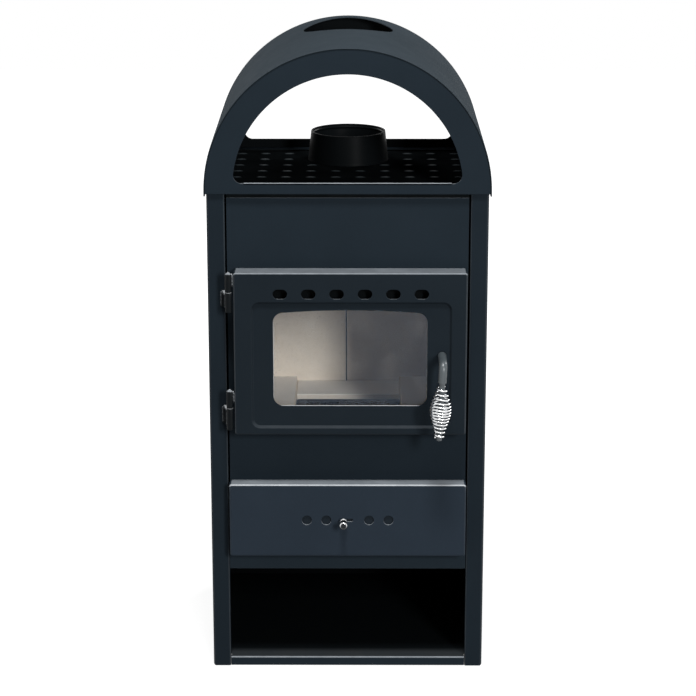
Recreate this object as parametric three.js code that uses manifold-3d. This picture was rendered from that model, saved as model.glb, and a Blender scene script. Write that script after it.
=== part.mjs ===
// Free-standing sheet-steel wood stove: a tall body on side panels that reach the floor, a fire door
// with a ceramic window, an ash drawer with an air slider, an open log storage, a hotplate with a flue
// collar, and an arched hood over the hotplate.
//
// Millimetres. X to the right, Y away from the viewer, Z up. While it is built, Y = 0 is the front face of
// the side panels; the last lines move the whole stove so that the origin is below its middle.

import * as THREE from 'three';
import { mergeVertices } from 'three/addons/utils/BufferGeometryUtils.js';
import Module from 'manifold-3d';

const manifold = await Module();
manifold.setup();

// ---------------------------------------------------------------- driving dimensions

const GAP = 0.3; // air between two pieces that touch
const SHEET = 2; // folded sheet of the casing, the door and the drawer front

const BODY = { half: 210, depth: 352, top: 756 };
const COLUMN = { width: 27, returnDepth: 14, outerRadius: 4, footChamfer: 2.5 };
const REAR_FLANGE = 20;
const FOOT_FLANGE = 25;

const PLATE = 3; // firebox steel
const FRONT = { face: 3.5, half: 180.5, bottom: 190, top: 749.7, returnDepth: 9.5 };
const MOUTH = { left: -150, right: 160, bottom: 412, top: 622, radius: 10 };
const ASH_OPENING = { half: 173.5, bottom: 194, top: 300, radius: 4 };
const CROSSBAR = { bottom: 160.6, top: 189.6, flange: 18 };
const BASE = { top: 15.3, lipBottom: 1, thickness: 2 };
const ASH_SHELF = { bottom: 187, top: 189 };
const PLATE_NOTCH = { half: 182.5, depth: 14.5 }; // plates step in behind the folded columns
const INSIDE_HALF = 207.5;

const HOTPLATE = { bottom: 750, rear: 349.5 };
const DIMPLE = { length: 20, width: 13, height: 1.2, sides: 6, pitchX: 38, pitchY: 46.6 };
const DIMPLE_COLUMNS = 10;
const DIMPLE_ROWS = 7;
const FIRST_DIMPLE_ROW_Y = 28.4;

const FLUE = { y: 266, top: 803, topRadius: 59, baseRadius: 64, wall: 2.5, spigotRadius: 54.5 };
const FLUE_HOLE_RADIUS = 55;
const FLUE_SPIGOT_BOTTOM = 747;

const HOOD = { radius: 213.5, centreZ: 760, skirtBottom: 753, front: -5, rear: 357 };
const HOOD_FRAME = { recess: 1, bottom: 756.3, lip: 2, lipHalf: 205, frontLipRear: 18, rearLipFront: 335 };
const HOOD_WINDOW = { radius: 170.7, centreZ: 764, bottom: 772.3, corner: 13 };
const HOOD_HOLE_RADIUS = 70.5;

const FIREBOX = { wallInner: 175, wallOuter: 178, rear: 330, floorBottom: 345 };
const BRICK = { sideInner: 142, sideOuter: 172, front: 22, rear: 297, rearBack: 327, top: 640 };
const FLOOR_BRICK = { innerX: 84, sideTop: 385, middleTop: 378 };
const REAR_SEAM = { left: -4, right: -2 };
const GRATE = { half: 83.3, front: 100.3, rear: 218.7, top: 370, slots: 7, pitch: 20.5, slotWidth: 10 };
const GRATE_RIM = 14;
const BAFFLE = { front: 110, thickness: 20 };

const DOOR = { left: -170.3, right: 178.5, bottom: 390.4, top: 642.8, front: -30, rear: 0.5, corner: 4 };
const FOLD_RADIUS = 3; // outside radius of the folded edges of door and drawer front
const FIELD = { left: -145.5, right: 156.9, bottom: 400, top: 599, corner: 14, depth: 4 };
const WINDOW = { left: -111.5, right: 119.2, bottom: 435.3, shoulder: 580.6, corner: 15, rise: 4 };
const AIR_SLOT = { width: 21.5, height: 14.5, z: 610, firstX: -100.8, pitch: 42.2, count: 6 };
const GLASS = { left: -122, right: 129, bottom: 424, top: 596, thickness: 4, corner: 8 };
const GLASS_SEAL = { width: 9, thickness: 2 };
const CLIP = { height: 40, sheet: 1.5, foot: 13.4, overlap: 8, lowerZ: 440, upperZ: 545 };
const CLIP_SCREW = { headRadius: 3.6, headHeight: 2, shankRadius: 1.6 };
const WASH_CHANNEL = { left: -125, right: 132, top: 626, bottom: 592, rear: -8, sheet: 2 };
const SEAL_CHANNEL = { width: 14, front: -7, rear: -1, wall: 3, floor: 3 };
const SEAL_ROPE = { rear: 2.9 };

const HINGE = { x: -177.5, y: -25, radius: 5, bore: 3.3, pin: 3, pinStand: 22 };
const HINGES = [
  { name: 'upper', bottom: 580.9, seam: 611.9, top: 642.8 },
  { name: 'lower', bottom: 397.2, seam: 431.8, top: 461 },
];

const PIVOT = { x: 141.6, z: 514 };
const HANDLE = { shaft: 5.5, spindle: 4.2, spigot: 3.9, reach: 75, bend: 12, spindleTop: -27, bottom: -117 };
const HANDLE_LEAN = THREE.MathUtils.degToRad(2.6);
const BUSH = { radius: 8.5, bore: 6, front: -23.7, rear: 2 };
const CAM = { front: 9.3, thickness: 4, reach: 15, hub: 8, height: 10, bore: 4.3 };
const LATCH_NUT = { flats: 13, thickness: 6 };
const CATCH = { inner: 160.5, outer: 172, height: 40, thickness: 2.2 };

const COIL = { top: -32.5, bottom: -113.3, turns: 14.4, wire: 2.6, endRadius: 6.4, middleRadius: 15.1 };
const COIL_STEPS = 8; // straight steps in one curl
const COIL_SIDES = 5;
const COIL_PITCH_SWING = 0.36; // the middle curls lie closer, the end ones wider, by this share
const COIL_SKEW = 0.85; // below 1 moves the widest curl towards the top

const DRAWER = { half: 181, bottom: 190.6, top: 307.5, front: -20, rear: 3.2, corner: 4 };
const AIR_HOLE = { radius: 7.4, z: 250, places: [-62.5, -32.7, 32.7, 62.5] };
const AIR_TRAVEL = 12;
const KNOB = { x: -6.2, stem: 1.9, slotLeft: -8.6, slotHalfHeight: 2.3 };
const SLIDER = { left: -90, right: 78, half: 14, thickness: 1.5, windowHalfWidth: 4.6 };
const GUIDE = { half: 105, foot: 8, rise: 3.4, lap: 7.6, sheet: 1.5 };
const PAN = { half: 165, bottom: 198, top: 285, rear: 325, wall: 1.5, frontWall: 10.5 };
const PAN_AIR_WINDOW = { half: 90, bottom: 235, top: 265 };
const RUNNER = { inner: 150, outer: 172, front: 8, rear: 340 };

// ---------------------------------------------------------------- finishes

const PAINT = { color: 0x232a33, roughness: 0.45, metalness: 0.3 };
const HEAT_PAINT = { color: 0x14171b, roughness: 0.55, metalness: 0.3 };
const CAST_IRON = { color: 0x1b1d1f, roughness: 0.75, metalness: 0.4 };
const FIREBRICK = { color: 0xb7aa9a, roughness: 0.95, metalness: 0 };
const ROPE = { color: 0x8f8c86, roughness: 1, metalness: 0 };
const CERAMIC_GLASS = { color: 0xcfd6d8, roughness: 0.05, metalness: 0, transparent: true, opacity: 0.25 };
const CHROME = { color: 0xe4e6e8, roughness: 0.12, metalness: 1 };
const ZINC = { color: 0xa4a8ab, roughness: 0.35, metalness: 0.9 };

// ---------------------------------------------------------------- shapes

const ALONG_Y = new THREE.Matrix4().makeBasis(
  new THREE.Vector3(1, 0, 0), new THREE.Vector3(0, 0, 1), new THREE.Vector3(0, -1, 0));
const ALONG_X = new THREE.Matrix4().makeBasis(
  new THREE.Vector3(0, 1, 0), new THREE.Vector3(0, 0, 1), new THREE.Vector3(1, 0, 0));

function box(x0, x1, y0, y1, z0, z1) {
  const geometry = new THREE.BoxGeometry(x1 - x0, y1 - y0, z1 - z0);
  return geometry.translate((x0 + x1) / 2, (y0 + y1) / 2, (z0 + z1) / 2);
}

function extrude(shape, depth, arcSteps) {
  return new THREE.ExtrudeGeometry(shape, { depth, bevelEnabled: false, curveSegments: arcSteps });
}

// A plan outline (X, Y) raised from z0 to z1.
function upright(shape, z0, z1, arcSteps = 3) {
  return extrude(shape, z1 - z0, arcSteps).translate(0, 0, z0);
}

// A front outline (X, Z) that runs back from y0 to y1.
function facing(shape, y0, y1, arcSteps = 3) {
  return extrude(shape, y1 - y0, arcSteps).applyMatrix4(ALONG_Y).translate(0, y1, 0);
}

// A side outline (Y, Z) that runs across from x0 to x1.
function sideways(shape, x0, x1) {
  return extrude(shape, x1 - x0, 3).applyMatrix4(ALONG_X).translate(x0, 0, 0);
}

function outline(points) {
  return new THREE.Shape(points.map(([u, v]) => new THREE.Vector2(u, v)));
}

function roundedRect(left, right, bottom, top, radius) {
  const shape = new THREE.Shape();
  shape.moveTo(left + radius, bottom);
  shape.lineTo(right - radius, bottom);
  shape.absarc(right - radius, bottom + radius, radius, -Math.PI / 2, 0);
  shape.absarc(right - radius, top - radius, radius, 0, Math.PI / 2);
  shape.absarc(left + radius, top - radius, radius, Math.PI / 2, Math.PI);
  shape.absarc(left + radius, bottom + radius, radius, Math.PI, 1.5 * Math.PI);
  return shape;
}

function frameShape(left, right, bottom, top, radius, width) {
  const shape = roundedRect(left, right, bottom, top, radius);
  const innerRadius = Math.max(radius - width, 3);
  shape.holes.push(roundedRect(left + width, right - width, bottom + width, top - width, innerRadius));
  return shape;
}

function circle(x, y, radius) {
  const shape = new THREE.Shape();
  shape.absarc(x, y, radius, 0, 2 * Math.PI);
  return shape;
}

function hexagon(x, y, flats) {
  const corner = flats / Math.sqrt(3);
  const angles = [0, 1, 2, 3, 4, 5].map((k) => k * Math.PI / 3);
  return outline(angles.map((a) => [x + corner * Math.cos(a), y + corner * Math.sin(a)]));
}

// A round piece about a line parallel to Z through (x, y); the profile lists [radius, z].
function turnedUp(profile, x, y, segments) {
  const points = profile.map(([r, z]) => new THREE.Vector2(r, z));
  const geometry = new THREE.LatheGeometry(points, segments);
  return geometry.rotateX(Math.PI / 2).translate(x, y, 0);
}

// A round piece about a line parallel to Y through (x, z); the profile lists [radius, y].
function turnedBack(profile, x, z, segments) {
  const points = profile.map(([r, y]) => new THREE.Vector2(r, y));
  return new THREE.LatheGeometry(points, segments).translate(x, 0, z);
}

// ---------------------------------------------------------------- joining and cutting

function toSolid(geometry) {
  const bare = geometry.clone();
  bare.deleteAttribute('normal');
  bare.deleteAttribute('uv');
  const merged = mergeVertices(bare, 1e-3);
  const corners = merged.index.array;
  const triVerts = [];
  for (let i = 0; i < corners.length; i += 3) {
    const [a, b, c] = corners.slice(i, i + 3);
    if (a !== b && b !== c && c !== a) triVerts.push(a, b, c);
  }
  const mesh = new manifold.Mesh({
    numProp: 3,
    vertProperties: new Float32Array(merged.attributes.position.array),
    triVerts: new Uint32Array(triVerts),
  });
  return new manifold.Manifold(mesh);
}

function fromSolid(solid) {
  const mesh = solid.getMesh();
  const geometry = new THREE.BufferGeometry();
  geometry.setAttribute('position', new THREE.BufferAttribute(new Float32Array(mesh.vertProperties), 3));
  geometry.setIndex(new THREE.BufferAttribute(new Uint32Array(mesh.triVerts), 1));
  geometry.computeVertexNormals();
  return geometry;
}

function join(...pieces) {
  return fromSolid(pieces.map(toSolid).reduce((whole, piece) => whole.add(piece)));
}

function cut(base, ...tools) {
  return fromSolid(tools.map(toSolid).reduce((rest, tool) => rest.subtract(tool), toSolid(base)));
}

// The same piece seen in a mirror across X = 0.
function mirrored(geometry) {
  const copy = geometry.clone().scale(-1, 1, 1);
  const corners = copy.index.array;
  for (let i = 0; i < corners.length; i += 3) {
    [corners[i], corners[i + 1]] = [corners[i + 1], corners[i]];
  }
  copy.computeVertexNormals();
  return copy;
}

// A folded tray with rounded edges round its face, open at the back.
function tray(left, right, bottom, top, front, rear, corner) {
  const beyond = 20;
  const shape = roundedRect(left, right, bottom, top, corner);
  const block = new THREE.ExtrudeGeometry(shape, {
    depth: rear + beyond - front - 2 * FOLD_RADIUS,
    bevelEnabled: true,
    bevelThickness: FOLD_RADIUS,
    bevelSize: FOLD_RADIUS,
    bevelOffset: -FOLD_RADIUS,
    bevelSegments: 3,
    curveSegments: 3,
  });
  block.applyMatrix4(ALONG_Y).translate(0, rear + beyond - FOLD_RADIUS, 0);
  const hollow = roundedRect(left + SHEET, right - SHEET, bottom + SHEET, top - SHEET, corner - SHEET);
  const behind = box(left - 1, right + 1, rear, rear + 2 * beyond, bottom - 1, top + 1);
  return cut(block, facing(hollow, front + SHEET, rear + beyond), behind);
}

// ---------------------------------------------------------------- the stove as a set of named pieces

const stove = new THREE.Group();

function add(name, finish, geometry, parent = stove) {
  const mesh = new THREE.Mesh(geometry, new THREE.MeshStandardMaterial(finish));
  mesh.name = name;
  parent.add(mesh);
}

// ---------------------------------------------------------------- casing

// The right-hand panel's plan outline, folded from one sheet: return, front flange, side, rear flange.
function sidePanelPlan() {
  const outer = BODY.half;
  const inner = BODY.half - COLUMN.width;
  const r = COLUMN.outerRadius;
  const shape = new THREE.Shape();
  shape.moveTo(inner, COLUMN.returnDepth);
  shape.lineTo(inner, 1);
  shape.absarc(inner + 1, 1, 1, Math.PI, 1.5 * Math.PI);
  shape.absarc(outer - r, r, r, -Math.PI / 2, 0);
  shape.lineTo(outer, BODY.depth);
  shape.lineTo(outer - REAR_FLANGE, BODY.depth);
  shape.lineTo(outer - REAR_FLANGE, BODY.depth - SHEET);
  shape.lineTo(outer - SHEET, BODY.depth - SHEET);
  shape.lineTo(outer - SHEET, r);
  shape.absarc(outer - r, r, r - SHEET, 0, -Math.PI / 2, true);
  shape.lineTo(inner + SHEET, SHEET);
  shape.lineTo(inner + SHEET, COLUMN.returnDepth);
  return shape;
}

function addSidePanels() {
  const wall = upright(sidePanelPlan(), 0, BODY.top, 2);
  const foot = box(
    BODY.half - FOOT_FLANGE, BODY.half - SHEET / 2, COLUMN.returnDepth, BODY.depth - SHEET / 2, 0, SHEET);
  const c = COLUMN.footChamfer;
  const corner = facing(outline([[BODY.half + c, -c], [BODY.half + c, 2 * c], [BODY.half - 2 * c, -c]]), -10,
    BODY.depth + 10);
  const right = cut(join(wall, foot), corner);
  add('side_panel_right', PAINT, right);
  add('side_panel_left', PAINT, mirrored(right));
}

// A plate across the whole body whose front corners step in behind the folded columns.
function notchedPlate(front, rear, frontHalf = PLATE_NOTCH.half) {
  const d = PLATE_NOTCH.depth;
  return outline([
    [-frontHalf, front], [frontHalf, front], [frontHalf, d], [INSIDE_HALF, d],
    [INSIDE_HALF, rear], [-INSIDE_HALF, rear], [-INSIDE_HALF, d], [-frontHalf, d],
  ]);
}

function addCasing() {
  addSidePanels();
  const backRear = BODY.depth - SHEET - GAP;
  const plateRear = backRear - SHEET - GAP;
  add('back_panel', PAINT, box(-INSIDE_HALF, INSIDE_HALF, backRear - SHEET, backRear, SHEET + GAP, FRONT.top));

  const face = outline([
    [-FRONT.half, FRONT.bottom], [FRONT.half, FRONT.bottom], [FRONT.half, FRONT.top], [-FRONT.half, FRONT.top],
  ]);
  face.holes.push(roundedRect(MOUTH.left, MOUTH.right, MOUTH.bottom, MOUTH.top, MOUTH.radius));
  face.holes.push(roundedRect(
    -ASH_OPENING.half, ASH_OPENING.half, ASH_OPENING.bottom, ASH_OPENING.top, ASH_OPENING.radius));
  const faceRear = FRONT.face + PLATE;
  const folds = [-1, 1].map((side) => {
    const xs = [side * FRONT.half, side * (FRONT.half - SHEET)].sort((a, b) => a - b);
    return box(xs[0], xs[1], faceRear - 1, faceRear + FRONT.returnDepth, FRONT.bottom, FRONT.top);
  });
  add('front_plate', PAINT, join(facing(face, FRONT.face, faceRear), ...folds));

  const y = FRONT.face;
  add('crossbar', PAINT, sideways(outline([
    [y, CROSSBAR.bottom], [y + CROSSBAR.flange, CROSSBAR.bottom],
    [y + CROSSBAR.flange, CROSSBAR.bottom + SHEET], [y + SHEET, CROSSBAR.bottom + SHEET],
    [y + SHEET, CROSSBAR.top], [y, CROSSBAR.top],
  ]), -PLATE_NOTCH.half, PLATE_NOTCH.half));

  const floorPlate = upright(notchedPlate(0, plateRear), BASE.top - BASE.thickness, BASE.top);
  const lip = box(-PLATE_NOTCH.half, PLATE_NOTCH.half, 0, SHEET, BASE.lipBottom, BASE.top - 1);
  add('base_plate', PAINT, join(floorPlate, lip));
  add('ash_shelf', PAINT, upright(notchedPlate(y + SHEET + GAP, plateRear), ASH_SHELF.bottom, ASH_SHELF.top));
}

// ---------------------------------------------------------------- hotplate, flue collar and hood

function dimples() {
  const list = [];
  for (let row = 0; row < DIMPLE_ROWS; row += 1) {
    for (let column = 0; column < DIMPLE_COLUMNS; column += 1) {
      const x = (column - (DIMPLE_COLUMNS - 1) / 2) * DIMPLE.pitchX;
      const y = FIRST_DIMPLE_ROW_Y + row * DIMPLE.pitchY;
      if (Math.hypot(x, y - FLUE.y) < FLUE.baseRadius + DIMPLE.length / 2 + 2) continue;
      const stud = new THREE.CylinderGeometry(0.4, 0.5, 1 + DIMPLE.height, DIMPLE.sides);
      stud.rotateX(Math.PI / 2).scale(DIMPLE.length, DIMPLE.width, 1);
      list.push(stud.translate(x, y, BODY.top + DIMPLE.height / 2 - 0.5));
    }
  }
  return list;
}

function addHotplate() {
  const plan = notchedPlate(FRONT.face, HOTPLATE.rear, FRONT.half);
  plan.holes.push(circle(0, FLUE.y, FLUE_HOLE_RADIUS));
  add('hotplate', HEAT_PAINT, join(upright(plan, HOTPLATE.bottom, BODY.top, 16), ...dimples()));

  const seat = BODY.top + GAP;
  const bore = FLUE.spigotRadius - FLUE.wall;
  add('flue_collar', HEAT_PAINT, turnedUp([
    [bore, FLUE_SPIGOT_BOTTOM], [FLUE.spigotRadius, FLUE_SPIGOT_BOTTOM], [FLUE.spigotRadius, seat],
    [FLUE.baseRadius, seat], [FLUE.baseRadius - 0.6, seat + 4], [FLUE.topRadius, FLUE.top],
    [FLUE.topRadius - FLUE.wall, FLUE.top], [FLUE.topRadius - FLUE.wall, FLUE.top - 8],
    [bore, seat + 4], [bore, FLUE_SPIGOT_BOTTOM],
  ], 0, FLUE.y, 40));
}

function archOutline(radius, bottom) {
  const shape = new THREE.Shape();
  shape.moveTo(radius, bottom);
  shape.absarc(0, HOOD.centreZ, radius, 0, Math.PI);
  shape.lineTo(-radius, bottom);
  return shape;
}

// The D-shaped opening of a hood frame: an arc, a straight sill and two rounded lower corners.
function hoodWindow() {
  const { radius, centreZ, bottom, corner } = HOOD_WINDOW;
  const rise = bottom + corner - centreZ;
  const reach = Math.sqrt((radius - corner) ** 2 - rise ** 2);
  const turn = Math.atan2(rise, reach);
  const shape = new THREE.Path();
  shape.absarc(0, centreZ, radius, turn, Math.PI - turn);
  shape.absarc(-reach, bottom + corner, corner, Math.PI - turn, 1.5 * Math.PI);
  shape.absarc(reach, bottom + corner, corner, -Math.PI / 2, turn);
  return shape;
}

function hoodFrame(front, lipFront, lipRear) {
  const shape = archOutline(HOOD.radius - SHEET - GAP, HOOD_FRAME.bottom);
  shape.holes.push(hoodWindow());
  const { bottom, lip, lipHalf } = HOOD_FRAME;
  return join(
    facing(shape, front, front + SHEET, 16),
    box(-lipHalf, lipHalf, lipFront, lipRear, bottom, bottom + lip));
}

function addHood() {
  const sheet = archOutline(HOOD.radius, HOOD.skirtBottom);
  sheet.lineTo(-HOOD.radius + SHEET, HOOD.skirtBottom);
  sheet.absarc(0, HOOD.centreZ, HOOD.radius - SHEET, Math.PI, 0, true);
  sheet.lineTo(HOOD.radius - SHEET, HOOD.skirtBottom);
  const hole = upright(circle(0, FLUE.y, HOOD_HOLE_RADIUS), HOOD.centreZ, HOOD.centreZ + 2 * HOOD.radius, 12);
  add('hood_arch', PAINT, cut(facing(sheet, HOOD.front, HOOD.rear, 20), hole));

  const front = HOOD.front + HOOD_FRAME.recess;
  const rear = HOOD.rear - HOOD_FRAME.recess - SHEET;
  add('hood_front_frame', PAINT, hoodFrame(front, front + SHEET / 2, HOOD_FRAME.frontLipRear));
  add('hood_rear_frame', PAINT, hoodFrame(rear, HOOD_FRAME.rearLipFront, rear + SHEET / 2));
}

// ---------------------------------------------------------------- firebox

function addFirebox() {
  const front = FRONT.face + PLATE + GAP;
  const floorTop = FIREBOX.floorBottom + PLATE;
  const stand = floorTop + GAP;
  const wallRear = FIREBOX.rear - GAP;
  add('firebox_left_wall', CAST_IRON,
    box(-FIREBOX.wallOuter, -FIREBOX.wallInner, front, wallRear, stand, FRONT.top));
  add('firebox_right_wall', CAST_IRON,
    box(FIREBOX.wallInner, FIREBOX.wallOuter, front, wallRear, stand, FRONT.top));
  add('firebox_rear_wall', CAST_IRON,
    box(-FIREBOX.wallOuter, FIREBOX.wallOuter, FIREBOX.rear, FIREBOX.rear + PLATE, stand, FRONT.top));

  const rim = GRATE_RIM - 3;
  add('firebox_floor', CAST_IRON, cut(
    box(-FIREBOX.wallOuter, FIREBOX.wallOuter, front, FIREBOX.rear + PLATE, FIREBOX.floorBottom, floorTop),
    box(-GRATE.half + rim, GRATE.half - rim, GRATE.front + rim, GRATE.rear - rim, 0, BODY.top)));

  const slots = [];
  for (let k = 0; k < GRATE.slots; k += 1) {
    const x = (k - (GRATE.slots - 1) / 2) * GRATE.pitch;
    const half = GRATE.slotWidth / 2;
    slots.push(box(x - half, x + half, GRATE.front + GRATE_RIM, GRATE.rear - GRATE_RIM, 0, BODY.top));
  }
  add('grate', CAST_IRON,
    cut(box(-GRATE.half, GRATE.half, GRATE.front, GRATE.rear, stand, GRATE.top), ...slots));

  const { sideInner, sideOuter, front: brickFront, rear, rearBack, top } = BRICK;
  const { innerX, sideTop, middleTop } = FLOOR_BRICK;
  const behind = rear - GAP;
  add('floor_brick_left', FIREBRICK, box(-sideOuter, -innerX, brickFront, behind, stand, sideTop));
  add('floor_brick_right', FIREBRICK, box(innerX, sideOuter, brickFront, behind, stand, sideTop));
  add('floor_brick_rear', FIREBRICK,
    box(-innerX + GAP, innerX - GAP, GRATE.rear + GAP, behind, stand, middleTop));
  add('floor_brick_front', FIREBRICK,
    box(-innerX + GAP, innerX - GAP, brickFront, GRATE.front - GAP, stand, middleTop));
  add('side_brick_left', FIREBRICK, box(-sideOuter, -sideInner, brickFront, behind, sideTop + GAP, top));
  add('side_brick_right', FIREBRICK, box(sideInner, sideOuter, brickFront, behind, sideTop + GAP, top));
  add('rear_brick_left', FIREBRICK, box(-sideOuter, REAR_SEAM.left, rear, rearBack, stand, top));
  add('rear_brick_right', FIREBRICK, box(REAR_SEAM.right, sideOuter, rear, rearBack, stand, top));
  add('baffle', FIREBRICK,
    box(-sideOuter, sideOuter, BAFFLE.front, rearBack, top + GAP, top + GAP + BAFFLE.thickness));
}

// ---------------------------------------------------------------- door

function windowShape() {
  const { left, right, bottom, shoulder, corner, rise } = WINDOW;
  const shape = new THREE.Shape();
  shape.moveTo(left + corner, bottom);
  shape.lineTo(right - corner, bottom);
  shape.absarc(right - corner, bottom + corner, corner, -Math.PI / 2, 0);
  shape.absarc(right - corner, shoulder - corner, corner, 0, Math.PI / 2);
  shape.quadraticCurveTo((left + right) / 2, shoulder + 2 * rise, left + corner, shoulder);
  shape.absarc(left + corner, shoulder - corner, corner, Math.PI / 2, Math.PI);
  shape.absarc(left + corner, bottom + corner, corner, Math.PI, 1.5 * Math.PI);
  return shape;
}

function addDoorPanel(door) {
  const shell = tray(DOOR.left, DOOR.right, DOOR.bottom, DOOR.top, DOOR.front, DOOR.rear, DOOR.corner);
  const { left, right, bottom, top, corner, depth } = FIELD;
  const backing = facing(roundedRect(left, right, bottom, top, corner),
    DOOR.front + SHEET / 2, DOOR.front + SHEET + depth);
  const pressing = facing(
    roundedRect(left + SHEET, right - SHEET, bottom + SHEET, top - SHEET, corner - SHEET),
    DOOR.front - 1, DOOR.front + depth);
  const through = [DOOR.front - 1, DOOR.front + 3 * depth];
  const slots = [];
  for (let k = 0; k < AIR_SLOT.count; k += 1) {
    const x = AIR_SLOT.firstX + k * AIR_SLOT.pitch;
    const slot = roundedRect(
      x - AIR_SLOT.width / 2, x + AIR_SLOT.width / 2,
      AIR_SLOT.z - AIR_SLOT.height / 2, AIR_SLOT.z + AIR_SLOT.height / 2, AIR_SLOT.height / 2 - 0.1);
    slots.push(facing(slot, ...through));
  }
  add('door_panel', PAINT, cut(
    join(shell, backing), pressing, facing(windowShape(), ...through),
    facing(circle(PIVOT.x, PIVOT.z, HANDLE.shaft + 1), ...through, 8), ...slots), door);
}

function addWindow(door) {
  const sealFront = DOOR.front + SHEET + FIELD.depth + GAP;
  const glassFront = sealFront + GLASS_SEAL.thickness + GAP;
  const glassRear = glassFront + GLASS.thickness;
  const { left, right, bottom, top, corner } = GLASS;
  add('glass_seal', ROPE, facing(
    frameShape(left, right, bottom, top, corner, GLASS_SEAL.width),
    sealFront, sealFront + GLASS_SEAL.thickness), door);
  add('window_glass', CERAMIC_GLASS,
    facing(roundedRect(left, right, bottom, top, corner), glassFront, glassRear), door);

  const lap = glassRear + GAP;
  for (const side of ['left', 'right']) {
    // u is the distance outwards from the edge of the glass
    const edge = side === 'left' ? left : right;
    const out = side === 'left' ? -1 : 1;
    const step = 2.6;
    const profile = outline([
      [step, sealFront], [step + CLIP.foot, sealFront], [step + CLIP.foot, sealFront + CLIP.sheet],
      [step + CLIP.sheet, sealFront + CLIP.sheet], [step + CLIP.sheet, lap + CLIP.sheet],
      [-CLIP.overlap, lap + CLIP.sheet], [-CLIP.overlap, lap], [step, lap],
    ].map(([u, y]) => [edge + out * u, y]));
    const screwX = edge + out * (step + CLIP.foot - 5);
    for (const [level, z] of [['lower', CLIP.lowerZ], ['upper', CLIP.upperZ]]) {
      const middle = z + CLIP.height / 2;
      const clip = cut(
        upright(profile, z, z + CLIP.height),
        facing(circle(screwX, middle, CLIP_SCREW.shankRadius + GAP), sealFront - 1, sealFront + 3));
      add(`glass_clip_${level}_${side}`, ZINC, clip, door);
      const seat = sealFront + CLIP.sheet + GAP;
      const end = sealFront + GAP;
      add(`clip_screw_${level}_${side}`, ZINC, turnedBack([
        [0, end], [CLIP_SCREW.shankRadius, end], [CLIP_SCREW.shankRadius, seat],
        [CLIP_SCREW.headRadius, seat], [CLIP_SCREW.headRadius, seat + 1],
        [CLIP_SCREW.headRadius - 1, seat + CLIP_SCREW.headHeight], [0, seat + CLIP_SCREW.headHeight],
      ], screwX, middle, 10), door);
    }
  }
}

function addDoorSeal(door) {
  const left = DOOR.left + SHEET + GAP;
  const right = DOOR.right - SHEET - GAP;
  const bottom = DOOR.bottom + SHEET + GAP;
  const top = DOOR.top - SHEET - GAP;
  const { width, front, rear, wall, floor } = SEAL_CHANNEL;
  const corner = DOOR.corner - SHEET + 1;
  const ring = (inset, ringWidth, y0, y1) => facing(frameShape(
    left + inset, right - inset, bottom + inset, top - inset, corner, ringWidth), y0, y1);
  add('seal_channel', PAINT, cut(
    ring(0, width, front, rear), ring(wall, width - 2 * wall, front + floor, rear + 1)), door);
  const inset = wall + GAP;
  add('door_seal', ROPE, ring(inset, width - 2 * inset, front + floor + GAP, SEAL_ROPE.rear), door);

  const { sheet } = WASH_CHANNEL;
  const start = DOOR.front + SHEET + GAP;
  add('air_wash_channel', HEAT_PAINT, sideways(outline([
    [start, WASH_CHANNEL.top - sheet], [WASH_CHANNEL.rear - sheet, WASH_CHANNEL.top - sheet],
    [WASH_CHANNEL.rear - sheet, WASH_CHANNEL.bottom], [WASH_CHANNEL.rear, WASH_CHANNEL.bottom],
    [WASH_CHANNEL.rear, WASH_CHANNEL.top], [start, WASH_CHANNEL.top],
  ]), WASH_CHANNEL.left, WASH_CHANNEL.right), door);
}

// ---------------------------------------------------------------- lift-off hinges

function addHinges(door) {
  const { x, y, radius, bore, pin, pinStand } = HINGE;
  const lugBack = -GAP;
  const columnEdge = -BODY.half + COLUMN.width;
  const doorSide = DOOR.left - GAP;
  for (const { name, bottom, seam, top } of HINGES) {
    const split = 0.4;
    const boreTop = seam + pinStand + 1;
    const column = outline([
      [columnEdge - 6, lugBack], [columnEdge - 0.5, lugBack], [x - 0.5, y], [x - radius + 0.6, y],
    ]);
    const fixed = cut(
      join(
        turnedUp([[0, bottom], [radius, bottom], [radius, seam - split], [0, seam - split]], x, y, 20),
        upright(column, bottom + 4, seam - 5)),
      turnedUp([[0, bottom + 3], [bore, bottom + 3], [bore, top], [0, top]], x, y, 20));
    add(`hinge_${name}_body_knuckle`, PAINT, fixed);

    const lug = outline([[x, y - 3], [doorSide, y - 3], [doorSide, y + 3], [x, y + 3]]);
    const moving = cut(
      join(
        turnedUp([
          [0, seam + split], [radius, seam + split], [radius, top - 2], [radius - 2, top], [0, top],
        ], x, y, 20),
        upright(lug, seam + 9, top - 3)),
      turnedUp([[0, bottom], [bore, bottom], [bore, boreTop], [0, boreTop]], x, y, 20));
    add(`hinge_${name}_door_knuckle`, PAINT, moving, door);

    const pinBottom = bottom + 3 + GAP;
    const pinTop = seam + pinStand;
    add(`hinge_${name}_pin`, ZINC, turnedUp([
      [0, pinBottom], [pin, pinBottom], [pin, pinTop - 1.5], [pin - 1.5, pinTop], [0, pinTop],
    ], x, y, 20));
  }
}

// ---------------------------------------------------------------- handle and latch

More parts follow.
